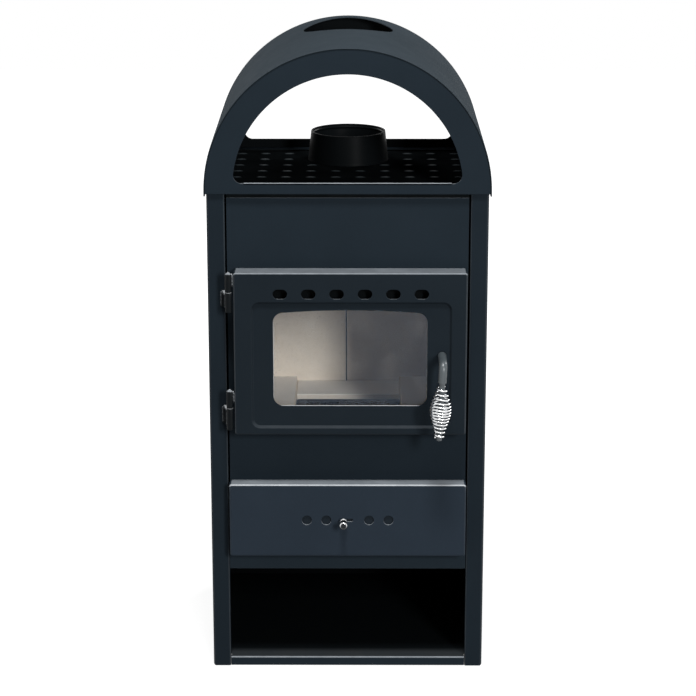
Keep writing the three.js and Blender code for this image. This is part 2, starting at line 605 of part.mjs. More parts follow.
// The handle is built round its pivot: the shaft lies along Y, the grip hangs down along Z.
function handleRod() {
  const { shaft, spindle, spigot, reach, bend, spindleTop, bottom } = HANDLE;
  const inner = CAM.front - GAP;
  const path = new THREE.CurvePath();
  const knee = new THREE.Vector3(0, -reach + bend, 0);
  const elbow = new THREE.Vector3(0, -reach, -bend);
  path.add(new THREE.LineCurve3(new THREE.Vector3(0, inner, 0), knee));
  path.add(new THREE.QuadraticBezierCurve3(knee, new THREE.Vector3(0, -reach, 0), elbow));
  path.add(new THREE.LineCurve3(elbow, new THREE.Vector3(0, -reach, spindleTop)));
  const bar = new THREE.ExtrudeGeometry(circle(0, 0, shaft), {
    steps: 26, extrudePath: path, bevelEnabled: false, curveSegments: 6,
  });
  const core = turnedUp([[0, bottom], [spindle, bottom], [spindle, spindleTop + 1], [0, spindleTop + 1]],
    0, -reach, 12);
  const end = CAM.front + CAM.thickness + LATCH_NUT.thickness + 2 * GAP;
  const thread = turnedBack([[0, inner - 1], [spigot, inner - 1], [spigot, end], [0, end]], 0, 0, 12);
  return join(bar, core, thread);
}

// Centre line of the wire: the curls swell towards the middle and lie closer together there.
function coilCentreLine() {
  const { top, bottom, turns, endRadius, middleRadius, wire } = COIL;
  const steps = Math.round(turns * COIL_STEPS);
  const points = [];
  for (let i = 0; i <= steps; i += 1) {
    const u = i / steps;
    const down = u + COIL_PITCH_SWING / (2 * Math.PI) * Math.sin(2 * Math.PI * u);
    const swell = Math.sin(Math.PI * down ** COIL_SKEW) ** 2;
    const radius = endRadius + (middleRadius - endRadius) * swell;
    const angle = 2 * Math.PI * turns * u;
    points.push(new THREE.Vector3(
      radius * Math.cos(angle), -HANDLE.reach + radius * Math.sin(angle), top + (bottom - top) * down));
  }
  const lead = points[0].clone().sub(points[1]).setLength(wire).add(points[0]);
  const tail = points[steps].clone().sub(points[steps - 1]).setLength(wire).add(points[steps]);
  return [lead, ...points, tail];
}

// One unbroken tube of COIL_SIDES sides along the centre line, closed at both ends.
function handleCoil(line) {
  const vertices = [];
  const corners = [];
  const count = line.length;
  for (let i = 0; i < count; i += 1) {
    const before = line[Math.max(i - 1, 0)];
    const after = line[Math.min(i + 1, count - 1)];
    const along = after.clone().sub(before).normalize();
    const outward = new THREE.Vector3(line[i].x, line[i].y + HANDLE.reach, 0);
    outward.addScaledVector(along, -outward.dot(along)).normalize();
    const across = along.clone().cross(outward);
    for (let k = 0; k < COIL_SIDES; k += 1) {
      const angle = 2 * Math.PI * k / COIL_SIDES;
      const point = line[i].clone();
      point.addScaledVector(outward, COIL.wire / 2 * Math.cos(angle));
      point.addScaledVector(across, COIL.wire / 2 * Math.sin(angle));
      vertices.push(point.x, point.y, point.z);
    }
  }
  for (let i = 0; i < count - 1; i += 1) {
    for (let k = 0; k < COIL_SIDES; k += 1) {
      const a = i * COIL_SIDES + k;
      const b = i * COIL_SIDES + (k + 1) % COIL_SIDES;
      corners.push(a, b, a + COIL_SIDES, b, b + COIL_SIDES, a + COIL_SIDES);
    }
  }
  const last = (count - 1) * COIL_SIDES;
  for (let k = 1; k < COIL_SIDES - 1; k += 1) {
    corners.push(0, k + 1, k, last, last + k, last + k + 1);
  }
  const geometry = new THREE.BufferGeometry();
  geometry.setAttribute('position', new THREE.Float32BufferAttribute(vertices, 3));
  geometry.setIndex(corners);
  geometry.computeVertexNormals();
  return geometry;
}

// Least distance between the wire's surface on two curls, on points along the centre line.
function leastCoilGap(line) {
  const fine = [];
  for (let i = 0; i < line.length - 1; i += 1) {
    for (let k = 0; k < 4; k += 1) {
      fine.push(line[i].clone().lerp(line[i + 1], k / 4));
    }
  }
  const apart = COIL_STEPS * 4 / 2;
  let least = Infinity;
  for (let i = 0; i < fine.length; i += 1) {
    for (let j = i + apart; j < fine.length; j += 1) {
      least = Math.min(least, fine[i].distanceTo(fine[j]) - COIL.wire);
    }
  }
  return least;
}

function addHandle() {
  const handle = new THREE.Group();
  handle.position.set(PIVOT.x, 0, PIVOT.z);
  handle.rotation.y = HANDLE_LEAN;
  stove.add(handle);
  add('handle_rod', HEAT_PAINT, handleRod(), handle);
  const line = coilCentreLine();
  add('handle_coil', CHROME, handleCoil(line), handle);
  console.log(`handle coil: least gap to itself ${leastCoilGap(line).toFixed(2)} mm`);
}

function addLatch(door) {
  const { x, z } = PIVOT;
  const camRear = CAM.front + CAM.thickness;
  const half = CAM.height / 2;
  const finger = outline([[x, z - half], [x + CAM.reach, z - half + 2], [x + CAM.reach, z + half], [x, z + half]]);
  const hub = facing(circle(x, z, CAM.hub), CAM.front, camRear, 8);
  add('latch_cam', ZINC, cut(
    join(hub, facing(finger, CAM.front, camRear)),
    facing(circle(x, z, CAM.bore), CAM.front - 1, camRear + 1, 6)));
  const nut = hexagon(x, z, LATCH_NUT.flats);
  nut.holes.push(circle(x, z, CAM.bore));
  add('latch_nut', ZINC, facing(nut, camRear + GAP, camRear + GAP + LATCH_NUT.thickness, 6));

  const bush = circle(x, z, BUSH.radius);
  bush.holes.push(circle(x, z, BUSH.bore));
  add('handle_bush', ZINC, facing(bush, BUSH.front, BUSH.rear, 8), door);

  const catchFront = FRONT.face + PLATE + GAP;
  const low = z - CATCH.height / 2;
  const high = z + CATCH.height / 2;
  add('latch_catch', ZINC, facing(
    outline([[CATCH.inner, low + 6], [CATCH.outer, low], [CATCH.outer, high], [CATCH.inner, high - 6]]),
    catchFront, catchFront + CATCH.thickness));
}

// ---------------------------------------------------------------- ash drawer and air slider

function addDrawer() {
  const { half, bottom, top, front, rear, corner } = DRAWER;
  const holes = AIR_HOLE.places.map((x) => facing(
    circle(x, AIR_HOLE.z, AIR_HOLE.radius), front - 1, front + 5, 9));
  const slotRight = KNOB.x + AIR_TRAVEL + (KNOB.x - KNOB.slotLeft);
  const slot = roundedRect(
    KNOB.slotLeft, slotRight, AIR_HOLE.z - KNOB.slotHalfHeight, AIR_HOLE.z + KNOB.slotHalfHeight,
    KNOB.slotHalfHeight - 0.1);
  add('drawer_front', PAINT, cut(
    tray(-half, half, bottom, top, front, rear, corner), facing(slot, front - 1, front + 5), ...holes));

  const inside = front + SHEET + GAP;
  const pan = PAN;
  const floor = pan.bottom + pan.wall;
  add('ash_pan', ZINC, cut(
    box(-pan.half, pan.half, inside, pan.rear, pan.bottom, pan.top),
    box(-pan.half + pan.wall, pan.half - pan.wall, pan.frontWall + pan.wall, pan.rear - pan.wall, floor, 400),
    box(-pan.half + pan.wall, pan.half - pan.wall, inside - 1, pan.frontWall, floor, 400),
    box(-PAN_AIR_WINDOW.half, PAN_AIR_WINDOW.half, pan.frontWall - 1, pan.frontWall + pan.wall + 1,
      PAN_AIR_WINDOW.bottom, PAN_AIR_WINDOW.top)));

  for (const [name, side] of [['left', -1], ['right', 1]]) {
    const shape = outline([
      [RUNNER.inner, pan.bottom - GAP - SHEET], [RUNNER.outer - SHEET, pan.bottom - GAP - SHEET],
      [RUNNER.outer - SHEET, ASH_SHELF.top + GAP], [RUNNER.outer, ASH_SHELF.top + GAP],
      [RUNNER.outer, pan.bottom - GAP], [RUNNER.inner, pan.bottom - GAP],
    ].map(([u, z]) => [side * u, z]));
    add(`drawer_runner_${name}`, HEAT_PAINT, facing(shape, RUNNER.front, RUNNER.rear));
  }
}

function addAirSlider() {
  const plateFront = DRAWER.front + SHEET + GAP;
  const plateRear = plateFront + SLIDER.thickness;
  const plate = outline([
    [SLIDER.left, AIR_HOLE.z - SLIDER.half], [SLIDER.right, AIR_HOLE.z - SLIDER.half],
    [SLIDER.right, AIR_HOLE.z + SLIDER.half], [SLIDER.left, AIR_HOLE.z + SLIDER.half],
  ]);
  for (const x of AIR_HOLE.places) {
    plate.holes.push(roundedRect(
      x - AIR_TRAVEL - SLIDER.windowHalfWidth, x - AIR_TRAVEL + SLIDER.windowHalfWidth,
      AIR_HOLE.z - AIR_HOLE.radius, AIR_HOLE.z + AIR_HOLE.radius, SLIDER.windowHalfWidth - 0.1));
  }
  plate.holes.push(circle(KNOB.x, AIR_HOLE.z, KNOB.stem + GAP));
  add('air_slider', HEAT_PAINT, facing(plate, plateFront, plateRear));

  for (const [name, side] of [['upper', 1], ['lower', -1]]) {
    // v is the distance away from the slider's edge
    const edge = SLIDER.half + 0.6;
    const lapFront = plateRear + GAP;
    const lapRear = lapFront + GUIDE.sheet;
    const shape = outline([
      [plateFront, edge], [plateFront, edge + GUIDE.rise + GUIDE.foot],
      [plateFront + GUIDE.sheet, edge + GUIDE.rise + GUIDE.foot], [plateFront + GUIDE.sheet, edge + GUIDE.rise],
      [lapRear, edge + GUIDE.rise], [lapRear, edge - GUIDE.lap], [lapFront, edge - GUIDE.lap], [lapFront, edge],
    ].map(([y, v]) => [y, AIR_HOLE.z + side * v]));
    add(`slider_guide_${name}`, HEAT_PAINT, sideways(shape, -GUIDE.half, GUIDE.half));
  }

  // A spool: a small collar near the drawer front, a waist, and a wider domed end.
  add('air_knob', CHROME, turnedBack([
    [0, -47], [3.4, -46.6], [5.4, -45.4], [6, -43.8], [5.6, -42], [3.6, -39.5], [3.4, -31.5],
    [5.6, -28.2], [5.9, -26.8], [5.2, -25.2], [3.2, -23], [KNOB.stem, -23], [KNOB.stem, -13.5], [0, -13.5],
  ], KNOB.x, AIR_HOLE.z, 16));
}

// ---------------------------------------------------------------- putting it together

addCasing();
addHotplate();
addHood();
addFirebox();
const door = new THREE.Group();
stove.add(door);
addDoorPanel(door);
addWindow(door);
addDoorSeal(door);
addHinges(door);
addHandle();
addLatch(door);
addDrawer();
addAirSlider();

const bounds = new THREE.Box3().setFromObject(stove);
const middle = bounds.getCenter(new THREE.Vector3());
stove.position.set(-middle.x, -middle.y, -bounds.min.z);

export default stove;
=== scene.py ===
# Wood stove with an arched hood over its hotplate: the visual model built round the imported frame.
from collections import namedtuple
from math import atan2, copysign, cos, degrees, exp, hypot, pi, radians, sin, sqrt, tan

import bmesh
import bpy
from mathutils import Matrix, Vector, noise
from mathutils.geometry import tessellate_polygon


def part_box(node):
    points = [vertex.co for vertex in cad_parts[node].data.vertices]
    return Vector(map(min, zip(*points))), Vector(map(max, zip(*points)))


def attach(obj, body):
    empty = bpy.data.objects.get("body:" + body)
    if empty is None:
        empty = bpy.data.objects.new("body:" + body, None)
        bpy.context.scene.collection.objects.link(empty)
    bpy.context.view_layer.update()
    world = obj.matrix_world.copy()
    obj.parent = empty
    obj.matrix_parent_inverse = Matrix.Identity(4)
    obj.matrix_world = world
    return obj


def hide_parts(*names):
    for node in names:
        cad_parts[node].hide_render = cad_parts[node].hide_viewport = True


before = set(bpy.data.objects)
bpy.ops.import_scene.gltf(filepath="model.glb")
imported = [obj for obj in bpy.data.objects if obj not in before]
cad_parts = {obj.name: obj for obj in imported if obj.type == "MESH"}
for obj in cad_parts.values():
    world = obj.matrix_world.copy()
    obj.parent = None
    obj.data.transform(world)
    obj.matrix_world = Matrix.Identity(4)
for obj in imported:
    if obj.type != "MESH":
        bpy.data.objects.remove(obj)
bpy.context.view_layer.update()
scene = bpy.context.scene
scene.view_settings.view_transform = "Standard"

# Shapes are written in stove millimetres: X to the right, Y away from the viewer with 0 at the front
# face of the columns, Z up from the floor.
MM = 0.001
FACE_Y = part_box("side_panel_right")[0].y


def place(x, y, z):
    """A point in stove millimetres as a point of the frame."""
    return Vector((x * MM, y * MM + FACE_Y, z * MM))


def stove_box(node):
    """The lowest and highest corners of a CAD node, in stove millimetres."""
    return [(c.x / MM, (c.y - FACE_Y) / MM, c.z / MM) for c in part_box(node)]


# ---- dimensions

# A rounded rectangle whose top side bows up by `rise`
Rect = namedtuple("Rect", "left right bottom top radius rise", defaults=(0,))

SHEET = 2
BODY_HALF = 210
BODY_TOP = 756
PLATE_REAR = 347.4
REAR_LINE = 352
LOG_HALF = 182.5

MOUTH = Rect(-150, 160, 412, 622, 10)
ASH_OPENING = Rect(-173.5, 173.5, 194, 300, 4)

FLUE_Y = 266
HOOD_RADIUS = 213.5
HOOD_CENTRE_Z = 760

DOOR = Rect(-170.3, 178.5, 390.4, 642.8, 4)
DOOR_FRONT = -30
DOOR_REAR = 0.5
FIELD = Rect(-143.5, 154.9, 402, 597, 12)
FIELD_DEPTH = 4
WINDOW = Rect(-111.5, 119.2, 435.3, 580.6, 15, 4)
FOLD = 3
SLOT_Z = 610

HINGE_X = -177.5
HINGE_Y = -25
BARREL_RADIUS = 5
PIN_BORE = 3.3
HINGES = {"upper": (580.9, 611.9, 642.8), "lower": (397.2, 431.8, 461)}

PIVOT_X = 141.6
PIVOT_Z = 514
HANDLE_LEAN = 2.6
HANDLE_REACH = 75
BAR_RADIUS = 6.2
WIRE_RADIUS = 1.2

DRAWER = Rect(-181, 181, 190.6, 307.5, 4)
DRAWER_FRONT = -20
DRAWER_REAR = 3.2
AIR_HOLES = (-62.5, -32.7, 32.7, 62.5)
AIR_Z = 250
KNOB_X = -6.2

# ---- outlines


def arc(u, v, radius, start, stop, steps):
    """Points on an arc round (u, v), angles in degrees."""
    turns = [radians(start + (stop - start) * k / steps) for k in range(steps + 1)]
    return [(u + radius * cos(t), v + radius * sin(t)) for t in turns]


def circle(u, v, radius, steps=48):
    return arc(u, v, radius, 0, 360, steps)[:-1]


def rectangle(left, right, bottom, top):
    return [(left, bottom), (right, bottom), (right, top), (left, top)]


def rounded_rect(left, right, bottom, top, radius, rise=0, mids=9, steps=8):
    """Anticlockwise outline from the lower left corner; the top side bows up by `rise`."""
    corners = [
        (left + radius, bottom + radius),
        (right - radius, bottom + radius),
        (right - radius, top - radius),
        (left + radius, top - radius),
    ]
    arcs = [arc(u, v, radius, 180 + 90 * k, 270 + 90 * k, steps) for k, (u, v) in enumerate(corners)]
    points = []
    for k, corner in enumerate(arcs):
        points += corner
        (u0, v0), (u1, v1) = corner[-1], arcs[(k + 1) % 4][0]
        for m in range(1, mids + 1):
            t = m / (mids + 1)
            bow = 4 * rise * t * (1 - t) if k == 2 else 0
            points.append((u0 + (u1 - u0) * t, v0 + (v1 - v0) * t + bow))
    return points


def inset(points, distance):
    """The closed outline moved to its left, with mitred corners."""
    count = len(points)
    moved = []
    for k in range(count):
        before = (Vector(points[k]) - Vector(points[k - 1])).normalized()
        after = (Vector(points[(k + 1) % count]) - Vector(points[k])).normalized()
        left_before = Vector((-before.y, before.x))
        left_after = Vector((-after.y, after.x))
        mitre = (left_before + left_after) / (1 + left_before.dot(left_after))
        moved.append(tuple(Vector(points[k]) + mitre * distance))
    return moved


def folded(path, radii, thickness=SHEET, steps=6):
    """Closed outline of a bent sheet. `path` is its outer line and the sheet lies to the left of it;
    `radii` has the outer radius of each bend, all bends turning left."""
    outer = []
    inner = []
    last = len(path) - 1
    for k, point in enumerate(path):
        here = Vector(point)
        if k in (0, last):
            along = (Vector(path[1]) - here if k == 0 else here - Vector(path[-2])).normalized()
            outer.append(tuple(here))
            inner.append((here.x - along.y * thickness, here.y + along.x * thickness))
            continue
        radius = radii[k - 1]
        before = (here - Vector(path[k - 1])).normalized()
        after = (Vector(path[k + 1]) - here).normalized()
        turn = atan2(before.x * after.y - before.y * after.x, before.dot(after))
        reach = radius * tan(turn / 2)
        centre = here - before * reach + Vector((-before.y, before.x)) * radius
        start = degrees(atan2(-before.x, before.y))
        stop = start + degrees(turn)
        outer += arc(centre.x, centre.y, radius, start, stop, steps)
        inner += arc(centre.x, centre.y, radius - thickness, start, stop, steps)
    return outer + inner[::-1]


def filleted(points, radius, steps=3):
    """A closed outline with each corner rounded."""
    count = len(points)
    smooth = []
    for k in range(count):
        here = Vector(points[k])
        back = Vector(points[k - 1]) - here
        ahead = Vector(points[(k + 1) % count]) - here
        reach = min(radius, 0.4 * back.length, 0.4 * ahead.length)
        start = here + back.normalized() * reach
        stop = here + ahead.normalized() * reach
        for j in range(steps + 1):
            t = j / steps
            smooth.append(tuple(start * (1 - t) ** 2 + here * 2 * t * (1 - t) + stop * t ** 2))
    return smooth


# ---- solids as (points, faces)


def facing(u, v, w):
    """A front outline (X, Z) that runs back along Y."""
    return (u, w, v)


def upright(u, v, w):
    """A plan outline (X, Y) that rises along Z."""
    return (u, v, w)


def sideways(u, v, w):
    """A side outline (Y, Z) that runs along X."""
    return (w, u, v)


def skin(loops, around=False, caps=False):
    """Quads through loops of equal length. `around` joins the last loop to the first."""
    count = len(loops[0])
    points = [p for loop in loops for p in loop]
    faces = []
    spans = len(loops) if around else len(loops) - 1
    for i in range(spans):
        a = i * count
        b = (i + 1) % len(loops) * count
        for k in range(count):
            n = (k + 1) % count
            faces.append((a + k, a + n, b + n, b + k))
    if caps:
        faces.append(tuple(range(count))[::-1])
        faces.append(tuple(range(len(points) - count, len(points))))
    return points, faces


def plate(outlines, low, high, lay=facing, edge=0.4, steps=2):
    """A flat piece between two levels with rounded edges. The first outline is the outside,
    anticlockwise; the others are holes, clockwise."""
    turns = [pi / 2 * k / steps for k in range(steps + 1)]
    levels = [(edge * (1 - sin(t)), low + edge * (1 - cos(t))) for t in turns]
    levels += [(moved, low + high - level) for moved, level in reversed(levels)]
    points = []
    faces = []
    ends = [[], []]
    for outline in outlines:
        loops = [[(u, v, level) for u, v in inset(outline, moved)] for moved, level in levels]
        start = len(points)
        wall_points, wall_faces = skin(loops)
        points += wall_points
        faces += [tuple(start + k for k in face) for face in wall_faces]
        count = len(outline)
        ends[0].append(range(start, start + count))
        ends[1].append(range(len(points) - count, len(points)))
    for end in ends:
        rings = [[Vector((points[k][0], points[k][1], 0)) for k in ring] for ring in end]
        order = [k for ring in end for k in ring]
        faces += [tuple(order[k] for k in corner) for corner in tessellate_polygon(rings)]
    return [lay(*p) for p in points], faces


def ring(rect, inwards, y):
    """A rounded rectangle of a door or drawer front at one depth, moved inwards."""
    outline = rounded_rect(rect.left + inwards, rect.right - inwards, rect.bottom + inwards,
                           rect.top - inwards, max(rect.radius - inwards, 0.3), rect.rise)
    return [(x, y, z) for x, z in outline]


def turned(profile, x, y, z, steps=48, along="z"):
    """A round piece about an axis through (x, y, z). The profile lists (radius, height along the axis);
    it is closed in itself unless it begins and ends at radius 0."""
    solid = profile[0][0] == 0
    body = profile[1:-1] if solid else profile
    turns = [2 * pi * k / steps for k in range(steps)]

    def point(radius, height, turn):
        across = radius * cos(turn)
        aside = radius * sin(turn)
        return (x + across, y + aside, z + height) if along == "z" else (x + across, y + height, z + aside)

    points, faces = skin([[point(r, h, t) for t in turns] for r, h in body], around=not solid)
    if solid:
        for (_, height), start in ((profile[0], 0), (profile[-1], len(points) - steps)):
            tip = len(points)
            points.append(point(0, height, 0))
            faces += [(start + k, start + (k + 1) % steps, tip) for k in range(steps)]
    return points, faces


def swept(path, section, reference, closed=False):
    """Carries a cross-section along a path. `section(k)` gives its (a, b) points at path point k, with b
    along the direction `reference(k)` and a across it."""
    count = len(path)
    loops = []
    for k, here in enumerate(path):
        after = path[(k + 1) % count] if closed else path[min(k + 1, count - 1)]
        before = path[k - 1] if closed else path[max(k - 1, 0)]
        along = (after - before).normalized()
        across = along.cross(reference(k)).normalized()
        up = across.cross(along)
        loops.append([tuple(here + across * a + up * b) for a, b in section(k)])
    return skin(loops, around=closed, caps=not closed)


def rod(path, radius, reference, sides=24, end=None):
    """A round bar along a path with rounded ends."""
    end = radius * 0.3 if end is None else end
    first = (path[0] - path[1]).normalized()
    last = (path[-1] - path[-2]).normalized()
    route = [path[0] + first * 0.02 * (3 - k) for k in range(3)] + list(path)
    route += [path[-1] + last * 0.02 * (k + 1) for k in range(3)]
    slim = [1 - end / radius * s for s in (1, 0.45, 0.12)]
    scales = slim + [1] * len(path) + slim[::-1]
    unit = circle(0, 0, radius, sides)

    def section(k):
        return [(a * scales[k], b * scales[k]) for a, b in unit]

    def lead(k):
        return reference(min(max(k - 3, 0), len(path) - 1))

    return swept(route, section, lead)


def block(low, high, radius, step, wear=None):
    """A box with rounded edges on a grid; `wear(point)` is how far the surface is worn in there."""
    axes = []
    for a, b in zip(low, high):
        near = [a, a + radius * 0.35, a + radius]
        far = [b - radius, b - radius * 0.35, b]
        count = max(2, round((b - a - 2 * radius) / step))
        middle = [a + radius + (b - a - 2 * radius) * k / count for k in range(1, count)]
        axes.append(near + middle + far)
    points = []
    faces = []
    for fixed in range(3):
        u_axis, v_axis = [k for k in range(3) if k != fixed]
        for level in (low[fixed], high[fixed]):
            start = len(points)
            across = len(axes[v_axis])
            for u in axes[u_axis]:
                for v in axes[v_axis]:
                    corner = [0, 0, 0]
                    corner[fixed], corner[u_axis], corner[v_axis] = level, u, v
                    points.append(rounded_point(corner, low, high, radius, wear))
            for i in range(len(axes[u_axis]) - 1):
                for j in range(across - 1):
                    a = start + i * across + j
                    faces.append((a, a + 1, a + across + 1, a + across))
    return points, faces


def rounded_point(point, low, high, radius, wear):
    """A point of a box's surface moved onto its rounded edges, then worn in."""
    core = Vector([min(max(c, a + radius), b - radius) for c, a, b in zip(point, low, high)])
    outward = (Vector(point) - core).normalized()
    edge = core + outward * radius
    if wear:
        edge -= outward * wear(edge, outward)
    return tuple(edge)


def mirrored(part):
    """The same solid seen in a mirror across X = 0."""
    points, faces = part
    return [(-x, y, z) for x, y, z in points], faces


def leaned(part):
    """A solid of the handle, built round its pivot, in its place on the door."""
    lean = radians(HANDLE_LEAN)
    along, across = cos(lean), sin(lean)
    points, faces = part
    moved = [(PIVOT_X + x * along + z * across, y, PIVOT_Z - x * across + z * along) for x, y, z in points]
    return moved, faces


# ---- materials


FINISHES = {}


class Nodes:
    """The nodes of a material or a world, with short calls for adding and joining them."""

    def __init__(self, owner):
        owner.use_nodes = True
        self.owner = owner
        self.tree = owner.node_tree
        self.tree.nodes.clear()

    def add(self, kind, inputs=None, **settings):
        node = self.tree.nodes.new(kind)
        for key, value in settings.items():
            setattr(node, key, value)
        for key, value in (inputs or {}).items():
            socket = node.inputs[key]
            if isinstance(value, bpy.types.NodeSocket):
                self.tree.links.new(value, socket)
            else:
                socket.default_value = (*value, 1.0) if socket.type == "RGBA" else value
        return node

    def made(self, kind, inputs=None, output=0, **settings):
        """One output of a new node."""
        return self.add(kind, inputs, **settings).outputs[output]

    def math(self, operation, *values):
        return self.made("ShaderNodeMath", dict(enumerate(values)), operation=operation)

    def times(self, first, second):
        return self.math("MULTIPLY", first, second)

    def mixed_shaders(self, factor, first, second):
        return self.made("ShaderNodeMixShader", {0: factor, 1: first, 2: second})

    def seen_by_eye(self):
        """1 for camera, glossy and transmission rays, 0 for the rays that light the stove."""
        rays = self.add("ShaderNodeLightPath").outputs
        direct = self.math("MAXIMUM", rays["Is Camera Ray"], rays["Is Glossy Ray"])
        return self.math("MAXIMUM", direct, rays["Is Transmission Ray"])


class Finish(Nodes):
    """A material whose patterns stay fixed to its piece. Once finished it is in FINISHES."""

    def __init__(self, name):
        super().__init__(bpy.data.materials.new(name))
        self.name = name
        self.place = self.made("ShaderNodeTexCoord", {}, "Object")

    def noise(self, scale, detail=3, roughness=0.5, stretch=None):
        where = self.place
        if stretch:
            where = self.made("ShaderNodeMapping", {"Vector": where, "Scale": stretch}, "Vector")
        inputs = {"Vector": where, "Scale": scale, "Detail": detail, "Roughness": roughness}
        return self.made("ShaderNodeTexNoise", inputs, "Fac")

    def cells(self, scale, output="Distance"):
        return self.made("ShaderNodeTexVoronoi", {"Vector": self.place, "Scale": scale}, output)

    def ranged(self, value, low, high, out_low=0, out_high=1):
        """`value` from low..high to out_low..out_high, held at both ends."""
        inputs = {"Value": value, "From Min": low, "From Max": high, "To Min": out_low, "To Max": out_high}
        return self.made("ShaderNodeMapRange", inputs, "Result")

    def patches(self, scale, detail, roughness, *span, low=0.3, high=0.7):
        """Soft patches: noise whose low..high becomes the two values of `span`, or 0..1."""
        return self.ranged(self.noise(scale, detail, roughness), low, high, *span)

    def parts(self, vector):
        """The X, Y and Z of a vector."""
        return self.add("ShaderNodeSeparateXYZ", {"Vector": vector}).outputs

    def outward(self):
        """The way the surface faces, on the piece itself, so it doesn't change as the piece moves."""
        return self.parts(self.made("ShaderNodeTexCoord", {}, "Normal"))

    def from_axis(self, x, z):
        """The square of the distance from the axis along Y through stove millimetres (x, z)."""
        offset = self.add("ShaderNodeVectorMath", {0: self.place, 1: (-x * MM, 0, -z * MM)})
        where = self.parts(offset.outputs["Vector"])
        return self.math("ADD", self.math("POWER", where["X"], 2.0), self.math("POWER", where["Z"], 2.0))

    def folds(self, side):
        """1 on the bends between a front face and the face above it, `side` on those at its sides: the mask
        of the painted highlights on folds and arrises.
        """
        way = self.outward()
        frontal = self.times(way["Y"], way["Y"])
        oblique = self.times(frontal, self.math("SUBTRACT", 1.0, frontal))
        upper = self.times(self.ranged(way["Z"], 0, 0.5, side), self.ranged(way["Z"], -0.6, -0.1, 0.15))
        return self.times(self.ranged(oblique, 0.02, 0.2), upper)

    def flats(self):
        """1 on what lies level: the mask of the painted top light."""
        return self.ranged(self.outward()["Z"], 0.95, 0.995)

    def mixed(self, factor, first, second):
        inputs = {0: factor, 6: first, 7: second}
        return self.made("ShaderNodeMix", inputs, 2, data_type="RGBA")

    def bumped(self, *layers):
        """The surface after bump layers, each (height, distance in metres)."""
        inputs = {"Strength": 1.0}
        for height, distance in layers:
            inputs.update({"Height": height, "Distance": distance})
            inputs["Normal"] = self.made("ShaderNodeBump", inputs, "Normal")
        return inputs["Normal"]

    def principled(self, **inputs):
        named = {key.replace("_", " "): value for key, value in inputs.items()}
        self.finished(self.made("ShaderNodeBsdfPrincipled", named))

    def finished(self, shader):
        self.add("ShaderNodeOutputMaterial", {"Surface": shader})
        FINISHES[self.name] = self.owner


def shade(base, factor):
    return tuple(factor * c for c in base)


def paint(name, base, bend=None, side=0.12, ledge=None, inner=None, spared=None, roughness=0.42,
          specular=0.02):
    """Stove paint: sprayed, slightly cloudy, with a fine grain and the odd paler speck of dust. A painted
    highlight of the colour `bend` lies along the folds between the front and the top or sides; what lies
    flat is painted lighter, to `ledge`, as top light with patchy dust; painted shade turns it black where
    `inner` says 1. The painted bend highlight nearly vanishes where `spared` says 1."""
    f = Finish(name)
    tone = f.mixed(f.patches(5, 3, 0.6), shade(base, 0.92), shade(base, 1.09))
    tone = f.mixed(f.patches(900, 2, 0.5, 0, 0.3, low=0.62, high=0.74), tone, shade(base, 1.9))
    # painted highlight: the folds that face forward and up turn towards `bend`, in patches
    if bend:
        bend_highlight = f.times(f.folds(side), f.patches(55, 3, 0.6, 0.75, 1))
        if spared:
            bend_highlight = f.times(bend_highlight, f.ranged(spared(f), 0, 1, 1, 0.07))
        tone = f.mixed(bend_highlight, tone, bend)
    # painted top light with patchy dust: what lies level turns towards `ledge`
    if ledge:
        top_light_and_dust = f.times(f.flats(), f.patches(30, 4, 0.6, 0.7, 1))
        tone = f.mixed(top_light_and_dust, tone, ledge)
    # painted shade: near black where `inner` says 1
    if inner:
        tone = f.mixed(inner(f), tone, SHADE_BLACK)
    rough = f.patches(38, 4, 0.6, roughness - 0.04, roughness + 0.05)
    normal = f.bumped((f.noise(3.1, 1), 0.0004), (f.noise(1300, 2, 0.6), 0.00002))
    f.principled(Base_Color=tone, Roughness=rough, Specular_IOR_Level=specular, Normal=normal)


def inside_casing(f):
    """1 within the casing, from a little behind its front edges: where painted shade turns the paint black.
    """
    where = f.parts(f.place)
    aside = f.math("ABSOLUTE", where["X"])
    within = f.ranged(aside, (BODY_HALF - 1.2) * MM, (BODY_HALF - 0.8) * MM, 1, 0)
    behind = f.ranged(where["Y"], FACE_Y + 17 * MM, FACE_Y + 34 * MM)
    before = f.ranged(where["Y"], FACE_Y + (REAR_LINE - 3.2) * MM, FACE_Y + (REAR_LINE - 3) * MM, 1, 0)
    return f.times(f.times(within, behind), before)


def under_hood(f):
    """1 on the hollow side of the arched sheet, which painted shade turns black."""
    reach = f.from_axis(0, HOOD_CENTRE_Z)
    return f.ranged(reach, ((HOOD_RADIUS - 1.6) * MM) ** 2, ((HOOD_RADIUS - 1) * MM) ** 2, 1, 0)


def door_face(f):
    """1 on the door within its outer fold: the sunk field and the slots get nearly none of the painted bend
    highlight.
    """
    where = f.parts(f.place)
    within = []
    for axis, low, high in (("X", DOOR.left, DOOR.right), ("Z", DOOR.bottom, DOOR.top)):
        away = f.math("ABSOLUTE", f.math("ADD", where[axis], -(low + high) / 2 * MM))
        within.append(f.math("LESS_THAN", away, ((high - low) / 2 - 2 * FOLD) * MM))
    return f.times(*within)


def below_top_edge(f):
    """0.6 on the drawer's front below its top fold, which gets the strongest painted highlight."""
    return f.ranged(f.parts(f.place)["Z"], (DRAWER.top - 12) * MM, (DRAWER.top - 8) * MM, 0.6, 0)


def looks_forward(f):
    """1 on what faces the front: painted shade turns the hood's rear sheet black on the side of the hotplate.
    """
    return f.ranged(f.outward()["Y"], -0.3, 0.3, 1, 0)


